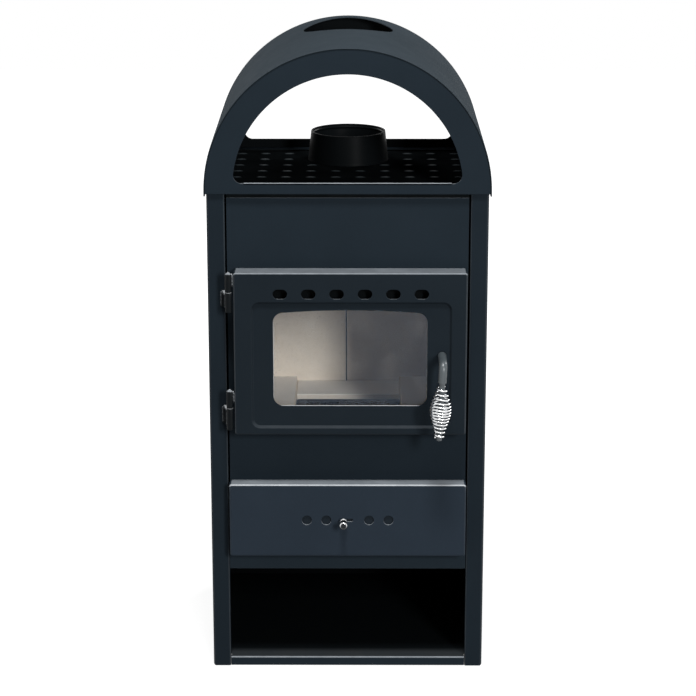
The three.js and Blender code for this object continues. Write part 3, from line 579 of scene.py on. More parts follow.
def plate_black(name):
    """Matt black of the hotplate; the crowns of its studs are glossier and carry a painted highlight, a
    lighter colour.
    """
    f = Finish(name)
    crown = f.ranged(f.parts(f.place)["Z"], (BODY_TOP + 0.45) * MM, (BODY_TOP + 1.15) * MM)
    tone = f.mixed(f.patches(24, 4, 0.6), (0.0040, 0.0052, 0.0058), (0.0068, 0.0083, 0.0092))
    # painted highlight: the stud crowns turn lighter
    tone = f.mixed(crown, tone, (0.052, 0.064, 0.071))
    normal = f.bumped((f.noise(1100, 3, 0.6), 0.00003))
    f.principled(Base_Color=tone, Roughness=f.ranged(crown, 0, 1, 0.75, 0.38),
                 Metallic=f.times(crown, 0.16), Specular_IOR_Level=0.0, Normal=normal)


def iron(name, soot=1.0, rusty=0.45, metallic=0.2, specular=0.25):
    """Firebox steel or cast iron, dulled by heat, with a little soot and rust."""
    f = Finish(name)
    tone = f.mixed(f.patches(22, 5, 0.65, low=0.35), shade((0.011, 0.011, 0.012), soot),
                   shade((0.034, 0.029, 0.026), soot))
    rust = f.patches(70, 6, 0.7, 0, rusty, low=0.6, high=0.75)
    tone = f.mixed(rust, tone, (0.09, 0.043, 0.022))
    normal = f.bumped((f.noise(420, 4, 0.6), 0.00018), (f.noise(60, 3, 0.6), 0.0004))
    f.principled(Base_Color=tone, Roughness=f.patches(90, 3, 0.5, 0.66, 0.86), Metallic=metallic,
                 Specular_IOR_Level=specular, Normal=normal)


def firebrick(name, soot=0.0):
    """Pressed pale refractory brick: sandy grain, small dark and light grit, pores, paler upper front arrises
    (painted highlight, partly wear), pale ash and painted top light on level faces, and as much soot as
    `soot` says."""
    f = Finish(name)
    base = f.mixed(f.patches(14, 4, 0.6), (0.78, 0.68, 0.575), (0.87, 0.78, 0.675))
    dark = f.patches(330, 3, 0.7, 0, 0.35, low=0.58)
    pale = f.ranged(f.noise(240, 3, 0.7, stretch=(1.1, 0.9, 1)), 0.60, 0.70, 0, 0.45)
    base = f.mixed(dark, base, (0.52, 0.45, 0.37))
    base = f.mixed(pale, base, (0.88, 0.83, 0.76))
    pores = f.ranged(f.cells(210), 0.0, 0.22, 1, 0)
    base = f.mixed(f.times(pores, 0.55), base, (0.15, 0.115, 0.09))
    # painted highlight on the upper front arrises, partly wear
    base = f.mixed(f.folds(0.4), base, (0.95, 0.91, 0.85))
    # pale ash and painted top light on the level faces
    base = f.mixed(f.times(f.flats(), 0.85), base, (0.88, 0.84, 0.79))
    if soot:
        base = f.mixed(f.patches(9, 4, 0.6, soot - 0.15, soot + 0.15), base, (0.06, 0.055, 0.05))
    normal = f.bumped((f.noise(420, 4, 0.65), 0.00005), (pores, -0.0002))
    f.principled(Base_Color=base, Roughness=0.93, Specular_IOR_Level=0.15, Normal=normal)


def seal_rope(name, dark=(0.10, 0.10, 0.098), pale=(0.36, 0.35, 0.335), soot=0.4):
    """Knitted glass-fibre rope: grey yarns with fine strands."""
    f = Finish(name)
    strands = f.noise(1500, 3, 0.6, stretch=(1, 1, 0.35))
    tone = f.mixed(f.ranged(strands, 0.35, 0.65), dark, pale)
    tone = f.mixed(f.patches(45, 3, 0.5, 0, soot, low=0.4), tone, (0.06, 0.058, 0.056))
    f.principled(Base_Color=tone, Roughness=0.95, Specular_IOR_Level=0.1, Sheen_Weight=0.3,
                 Normal=f.bumped((strands, 0.0004)))


def glass(name):
    """Thin ceramic glass, faintly smoked, with a touch of dust on it. Its gloss rises towards grazing
    sight alike from both sides, so no light is caught between its two faces."""
    f = Finish(name)
    clear = f.made("ShaderNodeBsdfTransparent", {"Color": (0.93, 0.935, 0.93)})
    shine = f.made("ShaderNodeBsdfGlossy", {"Color": (0.58, 0.74, 1), "Roughness": 0.03})
    haze = f.made("ShaderNodeBsdfDiffuse", {"Color": (0.5, 0.49, 0.47)})
    grazing = f.made("ShaderNodeLayerWeight", {"Blend": 0.5}, "Facing")
    gloss = f.ranged(f.math("POWER", grazing, 5.0), 0, 1, 0.021)
    dust = f.patches(30, 5, 0.7, 0.0, 0.05, low=0.45, high=0.8)
    f.finished(f.mixed_shaders(dust, f.mixed_shaders(gloss, clear, shine), haze))


def chrome(name, dark_reflection=None):
    """Bright plated metal, with faint drawing marks, and painted dark reflections where the given mask says
    1.
    """
    f = Finish(name)
    marks = f.noise(600, 3, 0.6, stretch=(1, 1, 4))
    tone = f.mixed(f.ranged(marks, 0.3, 0.7), (0.74, 0.75, 0.76), (0.86, 0.87, 0.875))
    if dark_reflection:
        # painted reflection: dark where the mask says 1
        tone = f.mixed(dark_reflection(f), tone, (0.022, 0.024, 0.027))
    f.principled(Base_Color=tone, Metallic=1.0, Roughness=f.patches(160, 4, 0.6, 0.09, 0.2),
                 Normal=f.bumped((marks, 0.00001)))


def within_rims(f):
    """1 on the knob's waist, ends and underside, 0 on the tops of its two rims: where the chrome gets painted
    dark reflections and where it stays bright.
    """
    waist = f.ranged(f.from_axis(KNOB_X, AIR_Z), (4.0 * MM) ** 2, (4.7 * MM) ** 2, 1, 0)
    return f.math("MAXIMUM", waist, f.ranged(f.outward()["Z"], -0.3, 0.25, 0.92, 0))


def zinc(name):
    """Galvanised steel: soft spangle and a slightly matt, streaked surface."""
    f = Finish(name)
    grey = f.made("ShaderNodeSeparateColor", {"Color": f.cells(160, "Color")})
    tone = f.mixed(grey, (0.34, 0.35, 0.36), (0.47, 0.48, 0.485))
    tone = f.mixed(f.patches(55, 4, 0.7, 0, 0.4, low=0.5, high=0.75), tone, (0.26, 0.26, 0.255))
    f.principled(Base_Color=tone, Metallic=0.85, Roughness=f.ranged(grey, 0, 1, 0.34, 0.5),
                 Normal=f.bumped((f.noise(900, 3), 0.00002)))


# Painted shade: the near black of insides and undersides that lie in shade
SHADE_BLACK = (0.0034, 0.0044, 0.0050)
BLUE_GREY = (0.0118, 0.0176, 0.0235)
# Painted highlight colour of the bends
HIGHLIGHT_GREY = (0.22, 0.24, 0.26)
PAINTS = {
    # painted highlights on the folds, faint painted top light, painted shade inside the casing
    "casing_paint": dict(base=BLUE_GREY, bend=HIGHLIGHT_GREY, ledge=(0.024, 0.027, 0.029), inner=inside_casing),
    # painted shade: a darker copy of the casing paint for the columns, with painted bend highlights and black
    # inside
    "column_paint": dict(base=(0.0101, 0.0150, 0.0200), bend=HIGHLIGHT_GREY, inner=inside_casing),
    # painted light: a lighter copy of the casing paint for the crossbar, with painted bend highlights
    "crossbar_paint": dict(base=(0.0153, 0.0225, 0.0295), bend=HIGHLIGHT_GREY),
    # painted highlight: the level top of the hood frame's hem is much lighter
    "frame_paint": dict(base=BLUE_GREY, bend=HIGHLIGHT_GREY, ledge=(0.30, 0.325, 0.35)),
    # painted highlights on the door's folds and level top
    "door_paint": dict(base=(0.0101, 0.0145, 0.0189), bend=(0.21, 0.23, 0.25), side=0.18,
                       ledge=(0.15, 0.166, 0.182), spared=door_face),
    # painted light: a lighter copy for the lit hood top, a painted highlight on its front edge and painted
    # shade beneath
    "hood_paint": dict(base=(0.0245, 0.0324, 0.0392), bend=(0.10, 0.118, 0.134), side=0.3,
                       inner=under_hood, roughness=0.65, specular=0.003),
    "slider_paint": dict(base=(0.0105, 0.015, 0.020), roughness=0.45, specular=0.04),
    "bar_black": dict(base=(0.055, 0.066, 0.072), roughness=0.36, specular=0.5),
    # painted highlights: light bends and bright level tops on the near-black hinges
    "hinge_paint": dict(base=(0.0034, 0.0045, 0.0053), bend=(0.27, 0.29, 0.31), side=0.01,
                        ledge=(0.55, 0.57, 0.59), roughness=0.4, specular=0.05),
    # painted shade: the front-facing side of the rear frame is black
    "rear_paint": dict(base=BLUE_GREY, inner=looks_forward),
    # painted light: a lighter copy for the drawer front, with painted highlights on its top fold and top
    "drawer_paint": dict(base=(0.0191, 0.0271, 0.0377), bend=(0.46, 0.485, 0.51), side=0.07,
                         ledge=(0.19, 0.21, 0.23), spared=below_top_edge),
    "black_paint": dict(base=(0.0036, 0.0046, 0.0052), roughness=0.4, specular=0.025),
}
for paint_name, look in PAINTS.items():
    paint(paint_name, **look)
plate_black("plate_black")
iron("firebox_iron")
iron("grate_iron", soot=0.8, rusty=0.08, metallic=0.0, specular=0.0)
firebrick("firebrick")
firebrick("sooted_brick", soot=0.35)
seal_rope("seal_rope")
seal_rope("seal_tape", (0.30, 0.30, 0.295), (0.46, 0.455, 0.445), 0.1)
glass("ceramic_glass")
chrome("chrome_wire")
chrome("knob_chrome", within_rims)
zinc("zinc_steel")


# ---- pieces


def new_object(name, parts):
    """One mesh object from solids in stove millimetres."""
    points = []
    faces = []
    for part_points, part_faces in parts:
        start = len(points)
        points += [place(*p) for p in part_points]
        faces += [tuple(start + k for k in face) for face in part_faces]
    mesh = bpy.data.meshes.new(name)
    mesh.from_pydata(points, [], faces)
    tidy = bmesh.new()
    tidy.from_mesh(mesh)
    bmesh.ops.remove_doubles(tidy, verts=tidy.verts, dist=2e-6)
    bmesh.ops.recalc_face_normals(tidy, faces=tidy.faces)
    tidy.to_mesh(mesh)
    tidy.free()
    made = bpy.data.objects.new(name, mesh)
    scene.collection.objects.link(made)
    return made


def cut(piece, parts):
    """Takes solids out of a piece."""
    tool = new_object(piece.name + "_tool", parts)
    cutter = piece.modifiers.new("cut", "BOOLEAN")
    cutter.operation = "DIFFERENCE"
    cutter.solver = "EXACT"
    cutter.use_self = True
    cutter.object = tool
    evaluated = piece.evaluated_get(bpy.context.evaluated_depsgraph_get())
    mesh = bpy.data.meshes.new_from_object(evaluated)
    piece.modifiers.clear()
    piece.data = mesh
    bpy.data.objects.remove(tool)


def dress(piece, finish):
    """Gives a piece its finish, and smooth shading between its sharp edges."""
    piece.data.materials.clear()
    piece.data.materials.append(FINISHES[finish])
    piece.data.polygons.foreach_set("use_smooth", [True] * len(piece.data.polygons))
    piece.modifiers.new("normals", "WEIGHTED_NORMAL").keep_sharp = True


def add_piece(name, parts, body, slot, replaced=(), tools=(), sharp=32, finish=None):
    """A piece that rides on a body. Its finish is its slot's, unless another is named."""
    piece = new_object(name, parts)
    if tools:
        cut(piece, tools)
    dress(piece, finish or slot)
    piece.data.set_sharp_from_angle(angle=radians(sharp))
    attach(piece, body)
    if replaced:
        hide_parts(*replaced)


# The CAD nodes that stay: finish and size of the eased edges, and how the nodes' names start
KEPT_NODES = {
    ("casing_paint", 0.4): ("back_panel", "ash_shelf", "seal_channel"),
    ("firebox_iron", 0.5): ("firebox_",),
    ("ceramic_glass", 0.4): ("window_glass",),
    ("zinc_steel", 0.4): ("ash_pan",),
    ("zinc_steel", 0.3): ("glass_clip", "handle_bush", "latch_"),
    ("zinc_steel", 0.2): ("hinge_upper_pin", "hinge_lower_pin"),
    ("black_paint", 0.4): ("air_wash_channel",),
    ("black_paint", 0.3): ("drawer_runner", "slider_guide"),
    ("slider_paint", 0.25): ("air_slider",),
}


def keep_nodes():
    for (finish, edge), starts in KEPT_NODES.items():
        for node in sorted(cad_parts):
            if node.startswith(starts):
                ease_edges(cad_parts[node], edge)
                dress(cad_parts[node], finish)


def ease_edges(piece, edge):
    piece.modifiers.new("weld", "WELD").merge_threshold = 2e-6
    bevel = piece.modifiers.new("edges", "BEVEL")
    bevel.width = edge * MM
    bevel.segments = 2
    bevel.limit_method = "ANGLE"
    bevel.angle_limit = radians(40)


def bead(path, width=1.5, height=0.9, pitch=2.1, reference=Vector((0, -1, 0))):
    """A weld bead: a rippled, flattened run that tapers at both ends."""
    total = (path[-1] - path[0]).length
    count = max(8, round(total / 0.35))
    route = [path[0].lerp(path[-1], k / count) for k in range(count + 1)]

    def section(k):
        run = total * k / count
        taper = min(1, 0.25 + (run / 1.6) ** 0.5, 0.25 + ((total - run) / 1.6) ** 0.5)
        ripple = 1 + 0.16 * sin(2 * pi * run / pitch)
        return [(a * width * taper * ripple, b * height * taper * ripple) for a, b in circle(0, 0, 1, 12)]

    return swept(route, section, lambda k: reference)


# ---- casing


def side_panel(side):
    """A C-shaped folded sheet that reaches the floor, with a foot inside and a snipped front corner."""
    path = [(183, 14), (183, 0), (BODY_HALF, 0), (BODY_HALF, REAR_LINE), (190, REAR_LINE)]
    wall = plate([folded(path, (2.4, 4, 3))], 0, BODY_TOP, upright)
    foot = plate([rectangle(185, 209, 14, 351)], 0, SHEET, upright)
    snip = plate([[(213, -3), (213, 5.5), (204.5, -3)]], -10, 362, facing, edge=0)
    parts = [wall, foot]
    if side == "left":
        parts = [mirrored(part) for part in parts]
        snip = mirrored(snip)
    name = "side_panel_" + side
    add_piece(name + "_sheet", parts, "stove_body", "casing_paint", [name], [snip], finish="column_paint")


def build_casing():
    side_panel("left")
    side_panel("right")
    for side, x in (("left", -200), ("right", 200)):
        screws = [screw(x, z, 349.8, REAR_LINE + 2) for z in (48, 208, 368, 528, 688)]
        cross = [arm for _, arms in screws for arm in arms]
        add_piece("back_screws_" + side, [body for body, _ in screws], "stove_body", "zinc_steel",
                  tools=cross)

    half, bottom, top = 180.5, 190, 749.7
    face = rounded_rect(-half, half, bottom, top, 0.5, steps=2)
    holes = [rounded_rect(*hole)[::-1] for hole in (MOUTH, ASH_OPENING)]
    returns = [plate([rectangle(x, x + SHEET, 5.8, 16)], bottom, top, upright) for x in (-half, half - SHEET)]
    add_piece("front_plate_sheet", [plate([face] + holes, 3.5, 6.5, facing, 0.5)] + returns,
              "stove_body", "casing_paint", ["front_plate"])

    bar = folded([(3.5, 189.6), (3.5, 160.6), (21.5, 160.6)], (3,))
    add_piece("crossbar_sheet", [plate([bar], -LOG_HALF, LOG_HALF, sideways)],
              "stove_body", "casing_paint", ["crossbar"], finish="crossbar_paint")

    level = 15.3
    floor = folded([(PLATE_REAR, level), (0, level), (0, 1)], (3,))
    wings = [plate([rectangle(x, x + 25.5, 14.5, PLATE_REAR)], level - SHEET, level, upright)
             for x in (-207.5, 182)]
    add_piece("base_plate_sheet", [plate([floor], -LOG_HALF, LOG_HALF, sideways)] + wings,
              "stove_body", "casing_paint", ["base_plate"])


# ---- hotplate, flue collar and hood


def stud(x, y):
    """One raised oval of the hotplate, with a soft foot."""
    loops = []
    for share in (1, 0.94, 0.86, 0.74, 0.58, 0.38, 0.18):
        rise = 1.2 * cos(pi / 2 * share ** 1.6) ** 0.85 if share < 1 else -0.3
        oval = circle(0, 0, share, 28)
        loops.append([(x + 10 * a, y + 6.5 * b, BODY_TOP + rise) for a, b in oval])
    return skin(loops, caps=True)


def build_top():
    ear = 14.5
    plan = [(-180.5, 3.5), (180.5, 3.5), (180.5, ear), (207.5, ear), (207.5, 349.5),
            (-207.5, 349.5), (-207.5, ear), (-180.5, ear)]
    hole = circle(0, FLUE_Y, 55, 72)[::-1]
    grid = [((column - 4.5) * 38, 28.4 + row * 46.6) for row in range(7) for column in range(10)]
    studs = [stud(x, y) for x, y in grid if hypot(x, y - FLUE_Y) > 76]
    add_piece("hotplate_studded", [plate([plan, hole], 750, BODY_TOP, upright, 0.6)] + studs,
              "stove_body", "black_paint", ["hotplate"], sharp=50, finish="plate_black")

    collar = filleted([
        (52, 747), (54.5, 747), (54.5, 756.3), (64, 756.3), (63.4, 760.3), (59, 803), (56.5, 803),
        (56.5, 799.6), (55.4, 798.8), (55.4, 797), (56.1, 795.6), (52, 760.3),
    ], 0.9)
    add_piece("flue_collar_cast", [turned(collar, 0, FLUE_Y, 0, 120)],
              "stove_body", "black_paint", ["flue_collar"], sharp=50)


def arch(radius, bottom, steps=90):
    return [(radius, bottom)] + arc(0, HOOD_CENTRE_Z, radius, 0, 180, steps) + [(-radius, bottom)]


def hood_window():
    """The D-shaped opening: an arc, a straight sill and two rounded lower corners."""
    radius, centre, bottom, corner = 170.7, 764, 772.3, 13
    rise = bottom + corner - centre
    reach = sqrt((radius - corner) ** 2 - rise ** 2)
    turn = degrees(atan2(rise, reach))
    points = arc(0, centre, radius, turn, 180 - turn, 90)
    points += arc(-reach, bottom + corner, corner, 180 - turn, 270, 10)[1:]
    points += arc(reach, bottom + corner, corner, -90, turn, 10)[:-1]
    return points


def build_hood():
    sheet = arch(HOOD_RADIUS, 753) + arch(HOOD_RADIUS - SHEET, 753)[::-1]
    above = HOOD_CENTRE_Z + HOOD_RADIUS + 30
    hole = turned([(0, 800), (70.5, 800), (70.5, above), (0, above)], 0, FLUE_Y, 0, 120)
    add_piece("hood_arch_sheet", [plate([sheet], -5, 357, facing, 0.5)],
              "stove_body", "casing_paint", ["hood_arch"], [hole], finish="hood_paint")

    foot_bottom = 756.3
    d_shape = arch(HOOD_RADIUS - SHEET + 0.4, foot_bottom)
    hem = plate([rectangle(-4, 2, 770.5, 772.5)], -154, 154, sideways)
    for name, front, foot_front, foot_rear, finish, folds in (
            ("hood_front_frame", -4, -3.2, 18, "frame_paint", [hem]),
            ("hood_rear_frame", 354, 335, 355.2, "rear_paint", [])):
        frame_sheet = plate([d_shape, hood_window()[::-1]], front, front + SHEET, facing, 0.5)
        foot = rectangle(foot_front, foot_rear, foot_bottom, foot_bottom + SHEET)
        parts = [frame_sheet, plate([foot], -205, 205, sideways)] + folds
        add_piece(name + "_sheet", parts, "stove_body", "casing_paint", [name], finish=finish)


# ---- firebox


def brick_wear(point, outward):
    """Sandy face with shallow hollows, and small chips along the edges."""
    where = point * 0.02
    depth = 0.35 * max(0, noise.noise(where * 2.3))
    depth += 0.04 * abs(noise.noise(where * 14))
    on_edge = 1 - max(abs(c) for c in outward)
    chip = max(0, noise.noise(where * 3.1 + Vector((7, 3, 1))) - 0.18)
    return depth + on_edge * (1.2 + 9 * chip)


def build_firebox():
    bars = [(k - 3) * 20.5 for k in range(7)]
    slots = [rounded_rect(x - 5, x + 5, 114.3, 204.7, 4.6, mids=0, steps=6)[::-1] for x in bars]
    edge = rounded_rect(-83.3, 83.3, 100.3, 218.7, 4, mids=0)
    add_piece("grate_cast", [plate([edge] + slots, 348.3, 370, upright, 1.4, 3)],
              "stove_body", "firebox_iron", ["grate"], sharp=50, finish="grate_iron")
    bricks = [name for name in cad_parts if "brick" in name] + ["baffle"]
    for name in sorted(bricks):
        sooted = "side_brick" in name or name == "baffle"
        add_piece(name + "_pressed", [block(*stove_box(name), 1.6, 6, brick_wear)],
                  "stove_body", "firebrick", [name], sharp=60,
                  finish="sooted_brick" if sooted else None)


# ---- door


def s_curve(t):
    return t * t * (3 - 2 * t)


def folded_edge(rect, front, radius, start=0):
    """The rounded front edge of a tray, from its side wall onto its face."""
    rings = []
    for k in range(7):
        turn = pi / 2 * k / 6
        rings.append(ring(rect, start + radius * (1 - cos(turn)), front + radius * (1 - sin(turn))))
    return rings


def pressing(outwards, y, sign):
    """The sloping edge of the door's sunk field, from the face down (sign 1) or back up (sign -1)."""
    steps = range(9) if sign > 0 else range(8, -1, -1)
    return [ring(FIELD, -outwards + 4.6 * k / 8, y + FIELD_DEPTH * s_curve(k / 8)) for k in steps]


def air_slot(k, grow):
    """Outline of the door's air slot number k."""
    x = -100.8 + 42.2 * k
    half_width = 10.75 + grow
    half_height = 7.25 + grow
    return rounded_rect(x - half_width, x + half_width, SLOT_Z - half_height, SLOT_Z + half_height,
                        half_height - 0.1, mids=1)


def flared(outline_at, front, rear, flare=0.45):
    """A cutter through a sheet that eases the edge of its face side."""
    loops = []
    for grow, y in ((1 + flare, front - 1), (flare, front), (0.1, front + flare * 0.7), (0, front + flare)):
        loops.append([(x, y, z) for x, z in outline_at(grow)])
    loops.append([(x, rear, z) for x, z in outline_at(0)])
    return skin(loops, caps=True)


def build_door():
    rings = [ring(DOOR, 0.3, DOOR_REAR), ring(DOOR, 0, DOOR_REAR - 0.3)]
    rings += folded_edge(DOOR, DOOR_FRONT, FOLD)
    rings += pressing(1.5, DOOR_FRONT, 1)
    sunk = DOOR_FRONT + FIELD_DEPTH
    for outwards, deep in ((0.5, 0), (0.15, 0.15), (0, 0.5), (0, 1.5), (0.15, 1.85), (0.5, 2)):
        rings.append(ring(WINDOW, -outwards, sunk + deep))
    rings += pressing(2.4, DOOR_FRONT + SHEET, -1)
    rings += folded_edge(DOOR, DOOR_FRONT + SHEET, FOLD - SHEET, SHEET)[::-1]
    rings += [ring(DOOR, SHEET, DOOR_REAR - 0.3), ring(DOOR, SHEET - 0.3, DOOR_REAR)]
    tools = [flared(lambda grow, k=k: air_slot(k, grow), DOOR_FRONT, DOOR_FRONT + 3.5) for k in range(6)]
    tools.append(flared(lambda grow: circle(PIVOT_X, PIVOT_Z, 6.5 + grow), sunk, sunk + 3.5, 0.3))
    add_piece("door_panel_pressed", [skin(rings, around=True)], "door", "casing_paint", ["door_panel"],
              tools, sharp=38, finish="door_paint")

    for node in sorted(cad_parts):
        if node.startswith("clip_screw"):
            build_clip_screw(node)
    build_ropes()


def screw(x, z, front, rear):
    """A pan-head screw along Y whose head, 2 mm high, ends at `rear`, and the cross cut into it."""
    head = rear - 2
    profile = [(0, front), (1.6, front), (1.6, head), (3.3, head), (3.6, head + 0.3), (3.6, head + 0.9),
               (3.3, head + 1.4), (2.4, head + 1.8), (1.2, rear), (0, rear)]
    arms = [plate([rectangle(x - a, x + a, z - b, z + b)], rear - 1, rear + 1, facing, 0)
            for a, b in ((1.9, 0.35), (0.35, 1.9))]
    return turned(profile, x, 0, z, 32, "y"), arms


def build_clip_screw(node):
    low, high = stove_box(node)
    body, cross = screw((low[0] + high[0]) / 2, (low[2] + high[2]) / 2, low[1], high[1])
    add_piece(node + "_cross", [body], "door", "zinc_steel", [node], cross)


def rect_route(rect, y, step):
    """Points along a rounded rectangle at even steps, and the length of a step."""
    outline = rounded_rect(*rect, mids=60, steps=14)
    corners = [Vector((x, y, z)) for x, z in outline]
    count = len(corners)
    lengths = [0]
    for k in range(count):
        lengths.append(lengths[-1] + (corners[(k + 1) % count] - corners[k]).length)
    samples = round(lengths[-1] / step)
    route = []
    k = 0
    for i in range(samples):
        run = lengths[-1] * i / samples
        while lengths[k + 1] < run:
            k += 1
        share = (run - lengths[k]) / (lengths[k + 1] - lengths[k])
        route.append(corners[k].lerp(corners[(k + 1) % count], share))
    return route, lengths[-1] / samples


def rope(rect, y, half_width, half_height, pitch, sides=20):
    """A knitted rope laid in a closed rectangle, filling a nearly square or flat channel."""
    route, step = rect_route(rect, y, pitch / 6)
    stitches = round(len(route) * step / pitch)

    def section(k):
        points = []
        for j in range(sides):
            turn = 2 * pi * j / sides
            knit = cos(2 * pi * stitches * k / len(route) + 3 * turn)
            knit *= cos(2 * pi * stitches * k / len(route) - 3 * turn)
            full = 0.955 + 0.045 * knit
            a = copysign(abs(cos(turn)) ** 0.55, cos(turn))
            b = copysign(abs(sin(turn)) ** 0.55, sin(turn))
            points.append((a * half_width * full, b * half_height * full))
        return points

    return swept(route, section, lambda k: Vector((0, 1, 0)), closed=True)


def build_ropes():
    edge = 9.3
    seal = Rect(DOOR.left + edge, DOOR.right - edge, DOOR.bottom + edge, DOOR.top - edge, 6)
    add_piece("door_seal_rope", [rope(seal, -0.4, 3.68, 3.28, 3.2)], "door", "seal_rope", ["door_seal"],
              sharp=80)
    tape = Rect(-116.0, 124.1, 430.2, 590.5, 17)
    add_piece("glass_seal_tape", [rope(tape, -22.7, 5.4, 0.98, 3.2, 16)], "door", "seal_rope",
              ["glass_seal"], sharp=80, finish="seal_tape")


# ---- hinges


def hinge_bracket(bottom, top):
    """The bracket from the column to the barrel; its root flares by 3 mm."""
    loops = []
    for k in range(9):
        t = k / 8
        flare = 3 * (1 - t) ** 2
        outline = rounded_rect(-189 + 7.1 * t, -183.5 + 5.5 * t, bottom - flare, top + flare, 1.1,
                               mids=2, steps=3)
        loops.append([(x, -0.3 - 24.7 * t, z) for x, z in outline])
    return skin(loops, caps=True)


def seam_end(z, away):
    """The end of a barrel at the seam, as a profile from its outside to the pin's bore."""
    return [(BARREL_RADIUS, z + 0.7 * away), (4.8, z + 0.2 * away), (4.4, z), (PIN_BORE, z)]


def upright_bead(x, y, bottom, top, **shape):
    return bead([Vector((x, y, bottom)), Vector((x, y, top))], **shape)


def build_hinges():
    for side, (bottom, seam, top) in HINGES.items():
        hinge = "hinge_" + side
        barrel = [(0, bottom), (3.8, bottom), (4.7, bottom + 0.4), (BARREL_RADIUS, bottom + 1.2)]
        barrel += seam_end(seam - 0.4, -1) + [(PIN_BORE, bottom + 3), (0, bottom + 3)]
        fixed = [turned(barrel, HINGE_X, HINGE_Y, 0, 40), hinge_bracket(bottom + 5.5, seam - 6)]
        add_piece(hinge + "_body_barrel", fixed, "stove_body", "casing_paint",
                  [hinge + "_body_knuckle"], finish="hinge_paint")

        barrel = [(0, top), (1.4, top - 0.1), (2.8, top - 0.5), (4, top - 1.3), (4.8, top - 2.4),
                  (BARREL_RADIUS, top - 3.6)]
        barrel += seam_end(seam + 0.4, 1) + [(PIN_BORE, seam + 23), (0, seam + 23)]
        lug = plate([filleted(rectangle(HINGE_X, -170.6, -28, -22), 0.6)], seam + 9, top - 3, upright, 0.7)
        add_piece(hinge + "_door_barrel", [turned(barrel, HINGE_X, HINGE_Y, 0, 40), lug],
                  "door", "casing_paint", [hinge + "_door_knuckle"], finish="hinge_paint")

        beads = [upright_bead(x, -1.1, bottom + 4, seam - 5) for x in (-189.4, -182.8)]
        beads.append(upright_bead(-182.2, -23.8, bottom + 6, seam - 7, reference=Vector((-1, -1, 0))))
        add_piece(hinge + "_weld", beads, "stove_body", "casing_paint", sharp=70, finish="hinge_paint")
        beads = [upright_bead(-171.4, y, seam + 10, top - 4, width=1.3, height=1.1) for y in (-28.2, -21.8)]
        add_piece(hinge + "_lug_weld", beads, "door", "casing_paint", sharp=70, finish="hinge_paint")


# ---- handle and latch


def handle_path():
    """Centre line of the bar round the pivot: out of the door, round a bend and down."""
    knee = Vector((0, -HANDLE_REACH + 12, 0))
    corner = Vector((0, -HANDLE_REACH, 0))
    elbow = Vector((0, -HANDLE_REACH, -12))
    path = [Vector((0, 9, 0)).lerp(knee, k / 6) for k in range(6)]
    for k in range(17):
        t = k / 16
        path.append(knee * (1 - t) ** 2 + corner * 2 * t * (1 - t) + elbow * t ** 2)
    path += [elbow.lerp(Vector((0, -HANDLE_REACH, -27)), k / 3) for k in range(1, 4)]
    return path


def coil_path():
    """Centre line of the wire: its curls swell and lie close in the middle, and its upper end is
    tucked against the core."""
    top, bottom, turns = -32.5, -113.3, 14.4
    slim, wide, tuck = 6.4, 15.1, 2.6
    steps = round(turns * 48)
    points = []
    for i in range(steps + 1):
        u = i / steps
        down = u + 0.24 * sin(2 * pi * u) / (2 * pi)
        swell = sin(pi * down ** 0.9) ** 2
        radius = slim + (wide - slim) * swell - tuck * exp(-u / 0.012)
        turn = 2 * pi * turns * u
        points.append(Vector((radius * cos(turn), -HANDLE_REACH + radius * sin(turn),
                              top + (bottom - top) * down)))
    return points


def build_handle():
    bar = rod(handle_path(), BAR_RADIUS, lambda k: Vector((1, 0, 0)), 32, 0.8)
    core = turned([(0, -117), (3.2, -117), (3.9, -116.7), (4.2, -116), (4.2, -27.2), (0, -27.2)],
                  0, -HANDLE_REACH, 0, 28)
    thread = [(0, 7), (3.9, 7), (3.9, 9.6)]
    y = 14.2
    while y < 19:
        thread += [(3.9, y), (3.55, y + 0.4), (3.9, y + 0.8)]
        y += 0.9
    thread += [(3.5, 19.5), (3.1, 19.8), (0, 19.8)]
    spigot = turned(thread, 0, 0, 0, 28, "y")
    add_piece("handle_bar", [leaned(part) for part in (bar, core, spigot)], "handle", "black_paint",
              ["handle_rod"], finish="bar_black")

    wire = coil_path()
    hub = [Vector((p.x, p.y + HANDLE_REACH, 0)).normalized() for p in wire]
    lead = (wire[0] - wire[1]).normalized()
    tail = (wire[-1] - wire[-2]).normalized()
    route = [wire[0] + lead * 1.2] + wire + [wire[-1] + tail * 1.2]
    hub = [hub[0]] + hub + [hub[-1]]
    add_piece("handle_coil_wire", [leaned(rod(route, WIRE_RADIUS, lambda k: hub[k], 14, 0.5))],
              "handle", "chrome_wire", ["handle_coil"], sharp=60)


# ---- ash drawer and air slider


